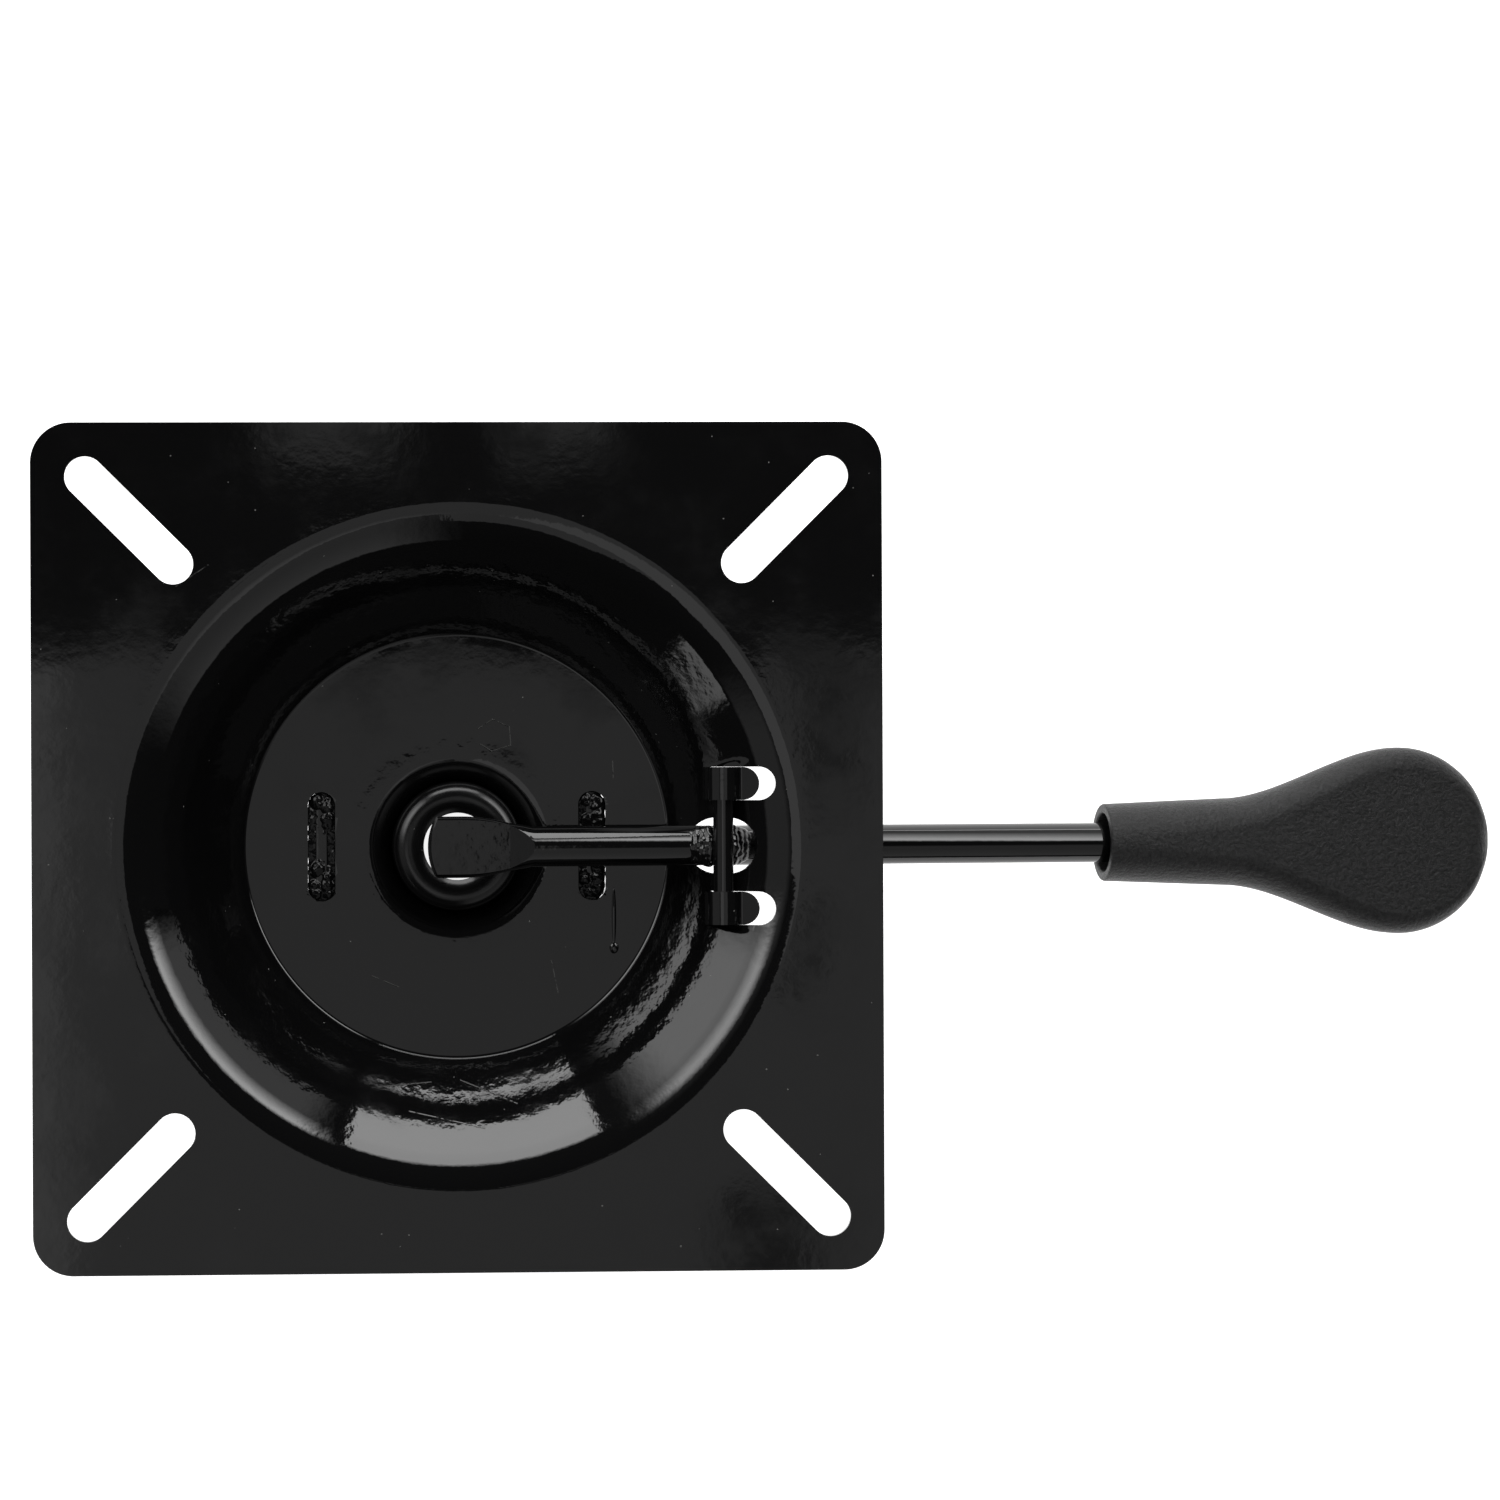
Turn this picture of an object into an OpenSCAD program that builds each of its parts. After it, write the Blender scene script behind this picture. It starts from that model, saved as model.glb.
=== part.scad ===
// Seat mounting plate for a 28 mm gas spring, with a height lever.
// Millimetres. Origin on the dish axis in the seat face, +Z towards the seat, +X along the lever.

/* [Plate] */
// Side of the square plate
plate_side = 200; // [190:1:240]
// Corner radius of the plate
plate_corner_r = 9.5; // [4:0.5:16]
// Thickness of the pressed sheet
sheet_t = 2.5; // [2:0.1:3]
// Distance between slot centres, along a side
slot_pitch = 154; // [150:0.5:158]
// Width of a bolt slot
slot_w = 9.5; // [7:0.5:11]
// Length of a bolt slot over its round ends
slot_l = 38.5; // [24:0.5:42]

/* [Dish] */
// Radius at which the flange starts to turn down
rim_r = 81.3; // [79:0.1:83]
// Radius of the flat floor
floor_r = 50; // [47:0.5:52]
// Depth of the floor below the seat face
dish_depth = 23.9; // [22:0.1:26]
// Radius of the rim bend on the seat side
rim_bend_r = 13.6; // [11:0.1:14]
// Radius of the floor corner on the seat side
floor_bend_r = 1.2; // [0.8:0.1:3]
// Radius at which the floor turns down into the neck
mouth_r = 22; // [21:0.5:24]
// Length of the neck below the floor
neck_l = 10; // [9:0.5:13]

/* [Socket] */
// Width of the socket at its mouth, for a 28 mm gas spring
socket_d = 28; // [26:0.5:29]
// Slope of the taper to its axis
taper_angle = 1.4377; // [1:0.1:1.8]
// Length of the socket
socket_l = 66; // [56:1:76]
// Wall of the socket
socket_wall = 2.8; // [2:0.1:3.2]
// Height of the socket's top above the floor
socket_rise = 7; // [4:0.5:8]
// Diameter of the hole for the spring's button
button_d = 16; // [12:0.5:17]
// Radius of the outer corner of the socket's top
crown_r = 3.4; // [2:0.2:3.8]
// Radius of the roll at the button hole
hole_roll_r = 6; // [5:0.5:8]
// Length of the button hole's straight wall
hole_land = 2.1; // [1.5:0.1:2.6]
// Gap between the socket and the holes it passes through
socket_fit = 0.15; // [0.1:0.05:0.3]

/* [Bracket] */
// Thickness of the bracket
bracket_t = 3; // [2:0.5:4]
// Width of the bracket
bracket_w = 44; // [42:1:50]
// Distance of a bracket leg's middle from the dish axis
leg_x = 32.2; // [30:0.2:36]
// Outer bend radius of the bracket
bracket_bend_r = 7; // [5:0.5:9]
// Length of the socket below the bracket
socket_foot = 6; // [5:0.5:9]
// Width of the tab on each leg
tab_w = 19; // [16:0.5:20]
// Depth of the tab's end below the face of the floor
tab_recess = 0.5; // [0.2:0.1:1]
// Length of a tab slot over its round ends
tab_slot_l = 26; // [24:0.5:30]
// Width of a tab slot
tab_slot_w = 6.5; // [5.5:0.5:8]

/* [Pivot] */
// Distance of the pivot pin from the dish axis
pivot_x = 62.7; // [62:0.1:64]
// Diameter of the pivot pin
pin_d = 4.8; // [4:0.2:5.2]
// Gap between the pivot pin and the plate
pin_clear = 0.2; // [0.1:0.05:0.3]
// Width of a tongue
tongue_w = 7.5; // [6:0.25:8.5]
// Distance of a tongue's middle from the lever
tongue_y = 14.75; // [14:0.25:16]
// Thickness of a tongue, thinned where it is drawn over the pin
tongue_t = 1.9; // [1.5:0.1:2.4]
// Angle at which a tongue leaves the pin
tongue_wrap = 38; // [30:1:50]
// Slope of the tongue's tail
tail_slope = 25; // [10:1:35]
// Distance of the tongue's free end from the pin
tail_reach = 8.3; // [7.6:0.1:9]
// Gap between a tongue and its window
tongue_gap = 0.2; // [0.1:0.05:0.4]
// Distance of the window's far end from the pin
tongue_window_reach = 12; // [10:0.1:12.5]
// Length of the lever's window
lever_window_l = 15.8; // [15:0.2:17]
// Width of the lever's window
lever_window_w = 13.3; // [12:0.1:14]

/* [Lever] */
// Diameter of the lever's round bar
rod_d = 9.5; // [8:0.5:10]
// Angle by which the lever hangs down towards its knob
lever_droop = 9.5; // [6:0.5:10]
// Length of the lever from the pin to its paddle end
inner_reach = 69.3; // [64:0.1:72]
// Length of the lever from the pin to the knob
outer_reach = 95.2; // [80:0.1:120]
// Length of the bar inside the knob
rod_grip = 68; // [50:1:72]
// Width of the paddle
paddle_w = 14.5; // [12:0.5:18]
// Thickness of the paddle
paddle_t = 4.5; // [3:0.25:6]
// Length of the flat face of the paddle
paddle_l = 18.9; // [16:0.1:24]
// Width of the paddle where its flat face ends
paddle_heel_w = 11.4; // [10:0.2:12]
// Length of the slope between the flat face and the round bar
paddle_slope_l = 5.5; // [4:0.5:8]
// Depth of the arc at the paddle's end
paddle_end_arc = 1.9; // [1:0.1:3]
// Length over which the paddle's sides draw in
paddle_draw_l = 11.3; // [8:0.1:14]
// Depth of the rounding of the paddle's sides
paddle_round = 1.6; // [1:0.1:2]
// Chamfer of the pin's ends
pin_chamfer = 0.4; // [0.2:0.1:0.8]

/* [Knob] */
// Length of the knob
knob_l = 97.2; // [92:0.1:110]
// Diameter of the knob's open end
collar_d = 18.6; // [17:0.2:22]
// Diameter of the neck where it starts to widen
neck_d = 21; // [19:0.5:24]
// Length of the neck
knob_neck_l = 30; // [24:1:38]
// Width of the knob's head
head_w = 45.2; // [38:0.2:52]
// Thickness of the knob's head
head_t = 13; // [11:0.5:16]
// Radius of the head's rounded edge
head_edge_r = 5.4; // [4:0.2:5.5]
// Diameter of the hollow at the open end
hollow_d = 14; // [12:0.5:15]
// Depth of the hollow
hollow_l = 14; // [8:1:20]
// Gap between the bar and the knob
knob_fit = 0.05; // [0.03:0.01:0.1]

/* [Welds] */
// Leg of the ring welds round the socket
ring_weld = 2.4; // [1.6:0.2:3]
// Radius of the ripples of the weld beads
ripple_r = 1.9; // [1.4:0.1:2.2]
// Height of a tab weld's lumps above the floor
tab_weld_rise = 0.7; // [0.4:0.1:1]
// Radius of a tab weld's lumps
lump_r = 7; // [5:0.5:9]
// Distance from one lump to the next
lump_step = 2.2; // [1.6:0.1:2.8]
// Sideways sway of the lumps
lump_sway = 0.35; // [0:0.05:0.5]
// Angle that a pin weld covers to each side of the bar's top
pin_weld_reach = 48; // [32:16:64]

/* [Hidden] */
$fn = 72;
paint = [0.05, 0.05, 0.055];
bead_paint = [0.09, 0.09, 0.095];
plastic = [0.16, 0.16, 0.165];
arc_steps = 10;
lap = 1;             // overlap where two forms of one piece are joined
through = 200;       // height of a cut that goes right through
slice_t = 0.02;      // thickness of the slices that a hull joins

// Dish section: the wall is the line that touches both bend arcs.
bend_sum = rim_bend_r + floor_bend_r;
wall_rise = dish_depth - bend_sum;
wall_run = rim_r - floor_r;
wall_angle = atan2(wall_rise, wall_run) + asin(bend_sum / norm([wall_run, wall_rise]));
rim_foot = [rim_r - rim_bend_r * sin(wall_angle), -rim_bend_r * (1 - cos(wall_angle))];
function wall_z(r) = rim_foot[1] - (rim_foot[0] - r) * tan(wall_angle);

// Socket: heights, and the outer radius at a height.
floor_z = -dish_depth;
under_floor_z = floor_z - sheet_t;
socket_top_z = floor_z + socket_rise;
socket_foot_z = socket_top_z - socket_l;
function socket_r(z) = socket_d / 2 - (z - socket_foot_z) * tan(taper_angle);
function socket_outer_r(z) = socket_r(z) + socket_wall;
neck_z = floor_z - neck_l;
neck_r = socket_outer_r(neck_z) + socket_fit;
mouth_bend_r = mouth_r - neck_r;

// Bracket: heights of its web.
web_top_z = socket_foot_z + socket_foot + bracket_t;
web_z = web_top_z - bracket_t;

// Pivot: the pin lies on the wall beside the lever's window, under the two tongues.
pin_r = pin_d / 2;
rod_r = rod_d / 2;
pin_seat_r = norm([pivot_x, tongue_y - tongue_w / 2 - tongue_gap]);
pivot_z = wall_z(pin_seat_r) + (pin_r + pin_clear) / cos(wall_angle);
pin_l = 2 * tongue_y + tongue_w;
tongue_in_r = pin_r + pin_clear;
tongue_out_r = tongue_in_r + tongue_t;
tongue_heel_r = 0.8;
tongue_root_x = pivot_x - tongue_in_r;

// Lever: the bar's axis lies under the pin by this much.
rod_drop = pin_r + rod_r;
flat_end = -inner_reach + paddle_l;
slope_end = flat_end + paddle_slope_l;
rod_end = outer_reach + rod_grip;

// Knob: half width of the outline, and half thickness, at a distance from the open end.
head_r = head_w / 2;
head_s = knob_l - head_r;
function smooth(t) = let (u = min(1, max(0, t))) u * u * (3 - 2 * u);
function neck_part(s) = min(1, s / knob_neck_l);
function neck_half(s) = (collar_d + (neck_d - collar_d) * neck_part(s)) / 2;
function knob_half(s) = s > head_s
    ? sqrt(max(0, head_r * head_r - (s - head_s) * (s - head_s)))
    : neck_half(s) + (head_r - neck_d / 2) * smooth((s - knob_neck_l) / (head_s - knob_neck_l));
function tip_drop(s) = let (d = min(head_edge_r, knob_l - s))
    head_edge_r - sqrt(head_edge_r * head_edge_r - (head_edge_r - d) * (head_edge_r - d));
function knob_half_t(s) = collar_d / 2 + (head_t / 2 - collar_d / 2) * smooth(s / head_s) - tip_drop(s);
function knob_edge_r(s) =
    min(knob_half(s), knob_half_t(s), collar_d + (head_edge_r - collar_d) * smooth(s / head_s));

function arc(c, r, from, to, n = arc_steps) =
    [for (i = [0 : n]) let (a = from + (to - from) * i / n) c + r * [cos(a), sin(a)]];
function reversed(list) = [for (i = [len(list) - 1 : -1 : 0]) list[i]];

module obround(l, w) {
    square([l - w, w], center = true);
    for (side = [-1, 1]) translate([side * (l - w) / 2, 0]) circle(d = w);
}

module rounded_square(side, r) {
    square([side, side - 2 * r], center = true);
    square([side - 2 * r, side], center = true);
    for (x = [-1, 1], y = [-1, 1]) translate([x, y] * (side / 2 - r)) circle(r);
}

// One face of the pressed sheet, from the neck's end to the flange, set back by the given depth.
function sheet_face(back) = concat(
    [[neck_r + back, neck_z]],
    arc([mouth_r, floor_z - mouth_bend_r], mouth_bend_r - back, 180, 90),
    arc([floor_r, floor_z + floor_bend_r], floor_bend_r + back, 270, 270 + wall_angle, 6),
    arc([rim_r, -rim_bend_r], rim_bend_r - back, 90 + wall_angle, 90),
    [[rim_r + 2 * lap, -back]]
);

module dish() {
    rotate_extrude() polygon(concat(sheet_face(0), reversed(sheet_face(sheet_t))));
}

module flange() {
    translate([0, 0, -sheet_t]) linear_extrude(sheet_t) difference() {
        rounded_square(plate_side, plate_corner_r);
        circle(rim_r + lap);
    }
}

module bolt_slots() {
    for (turn = [0 : 90 : 270]) rotate(turn)
        translate([slot_pitch / 2, slot_pitch / 2]) rotate(45) obround(slot_l, slot_w);
}

module tab_slots() {
    for (side = [-1, 1]) translate([side * leg_x, 0]) rotate(90) obround(tab_slot_l, tab_slot_w);
}

module pivot_windows() {
    translate([pivot_x, 0]) obround(lever_window_l, lever_window_w);
    w = tongue_w + 2 * tongue_gap;
    far = pivot_x + tongue_window_reach;
    for (side = [-1, 1]) translate([tongue_root_x, side * tongue_y]) {
        translate([0, -w / 2]) square([far - w / 2 - tongue_root_x, w]);
        translate([far - w / 2 - tongue_root_x, 0]) circle(d = w);
    }
}

// A tongue is cut out of the wall, drawn over the pin and left free at its round outer end.
module tongue() {
    pin = [pivot_x, pivot_z];
    heel = pin + (tongue_out_r + tongue_heel_r) * [cos(tongue_wrap), sin(tongue_wrap)];
    tail_dir = [cos(tail_slope), sin(tail_slope)];
    tail_top = heel + tongue_heel_r * [sin(tail_slope), -cos(tail_slope)];
    tail_l = (pivot_x + tail_reach - tail_top[0]) / cos(tail_slope) + lap;
    tail_under = tail_top + tongue_t * [sin(tail_slope), -cos(tail_slope)];
    root_out = pivot_x - tongue_out_r;
    mid_wall = sheet_t / 2 / cos(wall_angle);
    turn = 270 + tail_slope;
    difference() {
        translate([0, tongue_w / 2, 0]) rotate([90, 0, 0]) linear_extrude(tongue_w) polygon(concat(
            [[root_out, wall_z(norm([root_out, tongue_y])) - mid_wall]],
            arc(pin, tongue_out_r, 180, tongue_wrap),
            arc(heel, tongue_heel_r, 180 + tongue_wrap, turn, 5),
            [tail_top + tail_l * tail_dir, tail_under + tail_l * tail_dir],
            arc(heel, tongue_heel_r + tongue_t, turn, 180 + tongue_wrap, 5),
            arc(pin, tongue_in_r, tongue_wrap, 180),
            [[tongue_root_x, wall_z(norm([tongue_root_x, tongue_y])) - mid_wall]]
        ));
        translate([0, 0, -through / 2]) linear_extrude(through) difference() {
            translate([pivot_x + tail_reach - tongue_w / 2, -tongue_w])
                square([tongue_w, 2 * tongue_w]);
            translate([pivot_x + tail_reach - tongue_w / 2, 0]) circle(d = tongue_w);
        }
    }
}

module seat_plate() {
    color(paint) {
        difference() {
            union() {
                flange();
                dish();
            }
            translate([0, 0, -through / 2]) linear_extrude(through) {
                bolt_slots();
                tab_slots();
                pivot_windows();
            }
        }
        for (side = [-1, 1]) translate([0, side * tongue_y, 0]) tongue();
    }
}

// Deep-drawn taper cup, mouth down, with a rolled hole in its top for the spring's button.
module gas_socket() {
    crown_x = socket_outer_r(socket_top_z - crown_r) - crown_r;
    hole_r = button_d / 2;
    roll = asin((crown_x - hole_r) / hole_roll_r);
    in_top_z = socket_top_z - hole_roll_r * (1 - cos(roll)) - hole_land;
    in_corner_r = crown_r / 2;
    in_x = socket_r(in_top_z - in_corner_r) - in_corner_r;
    color(paint) rotate_extrude() polygon(concat(
        [[socket_outer_r(socket_foot_z), socket_foot_z]],
        arc([crown_x, socket_top_z - crown_r], crown_r, 0, 90),
        arc([crown_x, socket_top_z - hole_roll_r], hole_roll_r, 90, 90 + roll, 6),
        [[hole_r, in_top_z]],
        arc([in_x, in_top_z - in_corner_r], in_corner_r, 90, 0, 5),
        [[socket_r(socket_foot_z), socket_foot_z]]
    ));
}

module tab() {
    translate([-bracket_t / 2, -tab_w / 2, under_floor_z - lap])
        cube([bracket_t, tab_w, sheet_t + lap - tab_recess]);
}

// Strap bent to a U round the socket. Its two tabs stand in the floor's slots.
module socket_bracket() {
    out_x = leg_x + bracket_t / 2;
    in_x = leg_x - bracket_t / 2;
    bend_x = out_x - bracket_bend_r;
    bend_z = web_z + bracket_bend_r;
    in_bend_r = bracket_bend_r - bracket_t;
    color(paint) difference() {
        union() {
            translate([0, bracket_w / 2, 0]) rotate([90, 0, 0]) linear_extrude(bracket_w) polygon(concat(
                [[-out_x, under_floor_z]],
                arc([-bend_x, bend_z], bracket_bend_r, 180, 270),
                arc([bend_x, bend_z], bracket_bend_r, 270, 360),
                [[out_x, under_floor_z], [in_x, under_floor_z]],
                arc([bend_x, bend_z], in_bend_r, 360, 270),
                arc([-bend_x, bend_z], in_bend_r, 270, 180),
                [[-in_x, under_floor_z]]
            ));
            for (side = [-1, 1]) translate([side * leg_x, 0, 0]) tab();
        }
        translate([0, 0, web_z - lap])
            cylinder(r = socket_outer_r(web_z) + socket_fit, h = bracket_t + 2 * lap);
    }
}

// Round ring of weld metal in the corner under a face at the given height.
module ring_bead(z) {
    color(bead_paint) rotate_extrude() polygon(concat(
        [[socket_outer_r(z), z]],
        [for (a = [0 : 9 : 90]) let (h = z - ring_weld * sin(a))
            [socket_outer_r(h) + ring_weld * cos(a), h]]
    ));
}

// Plug weld that fills a tab's slot: low beside the tab, and in lumps proud of the floor at both ends.
module tab_weld(side) {
    cap_h = lump_r - tab_weld_rise;
    lump_y = tab_slot_l / 2 - sqrt(lump_r * lump_r - cap_h * cap_h);
    low_l = tab_w / 3;
    color(bead_paint) translate([side * leg_x, 0, 0]) difference() {
        union() {
            translate([0, 0, under_floor_z]) linear_extrude(sheet_t)
                rotate(90) obround(tab_slot_l, tab_slot_w);
            intersection() {
                for (end = [-1, 1], i = [0 : 2])
                    translate([end * lump_sway * (i - 1), end * (lump_y - lump_step * i), floor_z - cap_h])
                        sphere(lump_r);
                translate([-tab_slot_w, -tab_slot_l, floor_z])
                    cube([2 * tab_slot_w, 2 * tab_slot_l, lump_r]);
            }
        }
        translate([-tab_slot_w, -low_l / 2, floor_z - 2 * tab_recess])
            cube([2 * tab_slot_w, low_l, lump_r]);
        tab();
    }
}

// Places its children in the lever's own frame: along the bar, with the bar's axis at height 0.
module on_lever() {
    translate([pivot_x, 0, pivot_z]) rotate([0, lever_droop, 0]) translate([0, 0, -rod_drop]) children();
}

module bar_form() {
    translate([slope_end, 0, 0]) rotate([0, 90, 0]) cylinder(r = rod_r, h = rod_end - slope_end);
}

module pin_form() {
    translate([pivot_x, 0, pivot_z]) rotate([90, 0, 0]) {
        cylinder(r = pin_r, h = pin_l - 2 * pin_chamfer, center = true);
        for (side = [0, 1]) mirror([0, 0, side]) translate([0, 0, pin_l / 2 - pin_chamfer])
            cylinder(r1 = pin_r, r2 = pin_r - pin_chamfer, h = pin_chamfer);
    }
}

// Outline of the pressed paddle, set in: arched end, and sides that draw in towards the bar.
module paddle_outline(inset) {
    half = paddle_w / 2;
    end_r = (half * half + paddle_end_arc * paddle_end_arc) / (2 * paddle_end_arc);
    end_a = asin(half / end_r);
    draw_in = (paddle_w - paddle_heel_w) / 2;
    side_r = (paddle_draw_l * paddle_draw_l + draw_in * draw_in) / (2 * draw_in);
    side_a = asin(paddle_draw_l / side_r);
    heel = [flat_end + inset, paddle_heel_w / 2 - inset * tan(side_a)];
    upper = concat(arc([flat_end - paddle_draw_l, half - side_r], side_r, 90, 90 - side_a, 6), [heel]);
    offset(delta = -inset) polygon(concat(
        arc([-inner_reach + end_r, 0], end_r, 180 + end_a, 180 - end_a),
        upper,
        [for (p = reversed(upper)) [p[0], -p[1]]]
    ));
}

module paddle() {
    edge = paddle_t / 2;
    hull() for (a = [-90 : 30 : 90])
        translate([0, 0, edge * sin(a) - slice_t / 2]) linear_extrude(slice_t)
            paddle_outline(paddle_round * (1 - cos(a)));
    hull() {
        translate([flat_end - slice_t, 0, 0]) rotate([90, 0, 90]) linear_extrude(slice_t)
            polygon([for (a = [0 : 15 : 345]) [
                sign(cos(a)) * (paddle_heel_w / 2 - paddle_round * (1 - abs(cos(a)))),
                edge * sin(a)]]);
        translate([slope_end, 0, 0]) rotate([0, 90, 0]) cylinder(r = rod_r, h = slice_t, $fn = 32);
    }
}

module lever_rod() {
    color(paint) on_lever() {
        bar_form();
        paddle();
    }
}

module pivot_pin() {
    color(paint) pin_form();
}

// Weld bead in the notch between the bar and the pin: ripples laid over the top of the bar.
module pin_weld(side) {
    step = 16;
    sink = ripple_r / 4;
    color(bead_paint) difference() {
        on_lever() for (a = [-pin_weld_reach : step : pin_weld_reach])
            translate([side * (pin_r + sink), 0, 0])
                rotate([-a, 0, 0]) translate([0, 0, rod_r + sink]) sphere(ripple_r);
        on_lever() bar_form();
        pin_form();
    }
}

// Moulded paddle knob, swept through rounded sections along the bar.
knob_steps = concat(
    [for (i = [0 : 4]) i * knob_neck_l / 5],
    [for (i = [0 : 11]) knob_neck_l + i * (head_s - knob_neck_l) / 12],
    [for (a = [0 : 7.5 : 82.5]) head_s + head_r * sin(a)],
    [knob_l - 2 * slice_t]
);
quarter_steps = 7;

function knob_ring(s) = let (
    a = knob_half(s),
    b = knob_half_t(s),
    c = knob_edge_r(s)
) [for (q = [0 : 3], i = [0 : quarter_steps]) let (
    t = 90 * (q + i / quarter_steps),
    sx = (q == 0 || q == 3) ? 1 : -1,
    sz = q < 2 ? 1 : -1
) [s, sx * (a - c) + c * cos(t), sz * (b - c) + c * sin(t)]];

module knob_form() {
    rings = [for (s = knob_steps) knob_ring(s)];
    n = len(rings[0]);
    last = len(rings) - 1;
    polyhedron(
        points = [for (ring = rings) each ring],
        faces = concat(
            [[for (j = [0 : n - 1]) j]],
            [for (i = [0 : last - 1], j = [0 : n - 1]) let (k = (j + 1) % n)
                each [
                    [i * n + j, (i + 1) * n + j, (i + 1) * n + k],
                    [i * n + j, (i + 1) * n + k, i * n + k]
                ]],
            [[for (j = [n - 1 : -1 : 0]) last * n + j]]
        )
    );
}

module lever_knob() {
    color(plastic) on_lever() translate([outer_reach, 0, 0]) difference() {
        knob_form();
        rotate([0, 90, 0]) {
            translate([0, 0, -lap]) cylinder(d = hollow_d, h = hollow_l + lap);
            cylinder(r = rod_r + knob_fit, h = rod_grip + 2 * knob_fit);
        }
    }
}

seat_plate();
gas_socket();
socket_bracket();
ring_bead(neck_z);  // neck_weld
ring_bead(web_z);  // foot_weld
tab_weld(-1);  // left_tab_weld
tab_weld(1);  // right_tab_weld
lever_rod();
pivot_pin();
pin_weld(-1);  // pin_weld_inner
pin_weld(1);  // pin_weld_outer
lever_knob();
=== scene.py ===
# %% [markdown]
# # A gas-lift seat plate with its height lever
# The object is a square steel plate with a pressed dish, screwed under a seat. A taper socket in the
# dish takes the top of a gas spring, and a lever on a cross pin presses the spring's button. The packed
# CAD model is loaded first and stays fixed.

# %% Load the fixed frame
import math
import random

import bmesh
import bpy
from mathutils import Matrix, Vector


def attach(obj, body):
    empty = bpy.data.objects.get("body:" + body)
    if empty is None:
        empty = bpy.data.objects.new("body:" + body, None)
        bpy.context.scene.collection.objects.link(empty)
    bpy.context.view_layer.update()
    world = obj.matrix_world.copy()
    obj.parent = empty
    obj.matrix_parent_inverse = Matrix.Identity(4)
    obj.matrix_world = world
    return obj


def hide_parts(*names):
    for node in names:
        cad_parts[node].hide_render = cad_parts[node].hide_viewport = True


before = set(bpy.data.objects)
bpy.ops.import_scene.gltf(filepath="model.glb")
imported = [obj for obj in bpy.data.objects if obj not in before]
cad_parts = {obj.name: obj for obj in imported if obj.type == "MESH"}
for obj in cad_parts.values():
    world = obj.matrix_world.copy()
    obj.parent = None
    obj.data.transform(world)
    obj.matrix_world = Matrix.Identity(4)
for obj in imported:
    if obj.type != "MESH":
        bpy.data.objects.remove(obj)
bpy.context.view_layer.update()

# %% [markdown]
# ## Sizes
# The numbers repeat the named values of the CAD source, in millimetres. What follows from them is worked
# out here in the same way: the slope of the dish's wall, the height of the pivot, the knob's outline.

# %% Plate and dish
MM = 0.001
PLATE_SIDE, PLATE_CORNER_R, SHEET_T = 200, 9.5, 2.5
SLOT_PITCH, SLOT_W, SLOT_L = 154, 9.5, 38.5
RIM_R, FLOOR_R, DISH_DEPTH = 81.3, 50, 23.9
RIM_BEND_R, FLOOR_BEND_R, MOUTH_R, NECK_L = 13.6, 1.2, 22, 10
FLOOR_Z = -DISH_DEPTH
BEND_SUM = RIM_BEND_R + FLOOR_BEND_R
WALL_RUN, WALL_RISE = RIM_R - FLOOR_R, DISH_DEPTH - BEND_SUM
WALL_ANGLE = math.atan2(WALL_RISE, WALL_RUN) + math.asin(BEND_SUM / math.hypot(WALL_RUN, WALL_RISE))
RIM_FOOT = (RIM_R - RIM_BEND_R * math.sin(WALL_ANGLE), -RIM_BEND_R * (1 - math.cos(WALL_ANGLE)))


def wall_z(r):
    return RIM_FOOT[1] - (RIM_FOOT[0] - r) * math.tan(WALL_ANGLE)


print("wall slope", round(math.degrees(WALL_ANGLE), 2), "degrees")

# %% Socket and bracket
SOCKET_D, TAPER, SOCKET_L, SOCKET_WALL, SOCKET_RISE = 28, math.radians(1.4377), 66, 2.8, 7
BUTTON_D, CROWN_R, HOLE_ROLL_R, HOLE_LAND, SOCKET_FIT = 16, 3.4, 6, 2.1, 0.15
SOCKET_TOP_Z = FLOOR_Z + SOCKET_RISE
SOCKET_FOOT_Z = SOCKET_TOP_Z - SOCKET_L
NECK_Z = FLOOR_Z - NECK_L
BRACKET_T, BRACKET_W, LEG_X, BRACKET_BEND_R, SOCKET_FOOT = 3, 44, 32.2, 7, 6
TAB_W, TAB_RECESS, TAB_SLOT_L, TAB_SLOT_W = 19, 0.5, 26, 6.5
WEB_Z = SOCKET_FOOT_Z + SOCKET_FOOT
RING_WELD, TAB_WELD_RISE = 2.4, 0.7


def socket_r(z):
    return SOCKET_D / 2 - (z - SOCKET_FOOT_Z) * math.tan(TAPER)


def socket_outer_r(z):
    return socket_r(z) + SOCKET_WALL


NECK_R = socket_outer_r(NECK_Z) + SOCKET_FIT
MOUTH_BEND_R = MOUTH_R - NECK_R
print("neck radius", round(NECK_R, 2), "socket from", round(SOCKET_FOOT_Z, 1), "to", round(SOCKET_TOP_Z, 1))

# %% Pivot and lever
PIVOT_X, PIN_D, PIN_CLEAR, PIN_CHAMFER = 62.7, 4.8, 0.2, 0.4
TONGUE_W, TONGUE_Y, TONGUE_T, TONGUE_GAP = 7.5, 14.75, 1.9, 0.2
TONGUE_WRAP, TAIL_SLOPE, TAIL_REACH, TONGUE_HEEL_R = math.radians(38), math.radians(25), 8.3, 0.8
TONGUE_WINDOW_REACH, LEVER_WINDOW_L, LEVER_WINDOW_W = 12, 15.8, 13.3
PIN_R = PIN_D / 2
PIVOT_Z = (wall_z(math.hypot(PIVOT_X, TONGUE_Y - TONGUE_W / 2 - TONGUE_GAP))
           + (PIN_R + PIN_CLEAR) / math.cos(WALL_ANGLE))
PIN_L = 2 * TONGUE_Y + TONGUE_W
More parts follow.
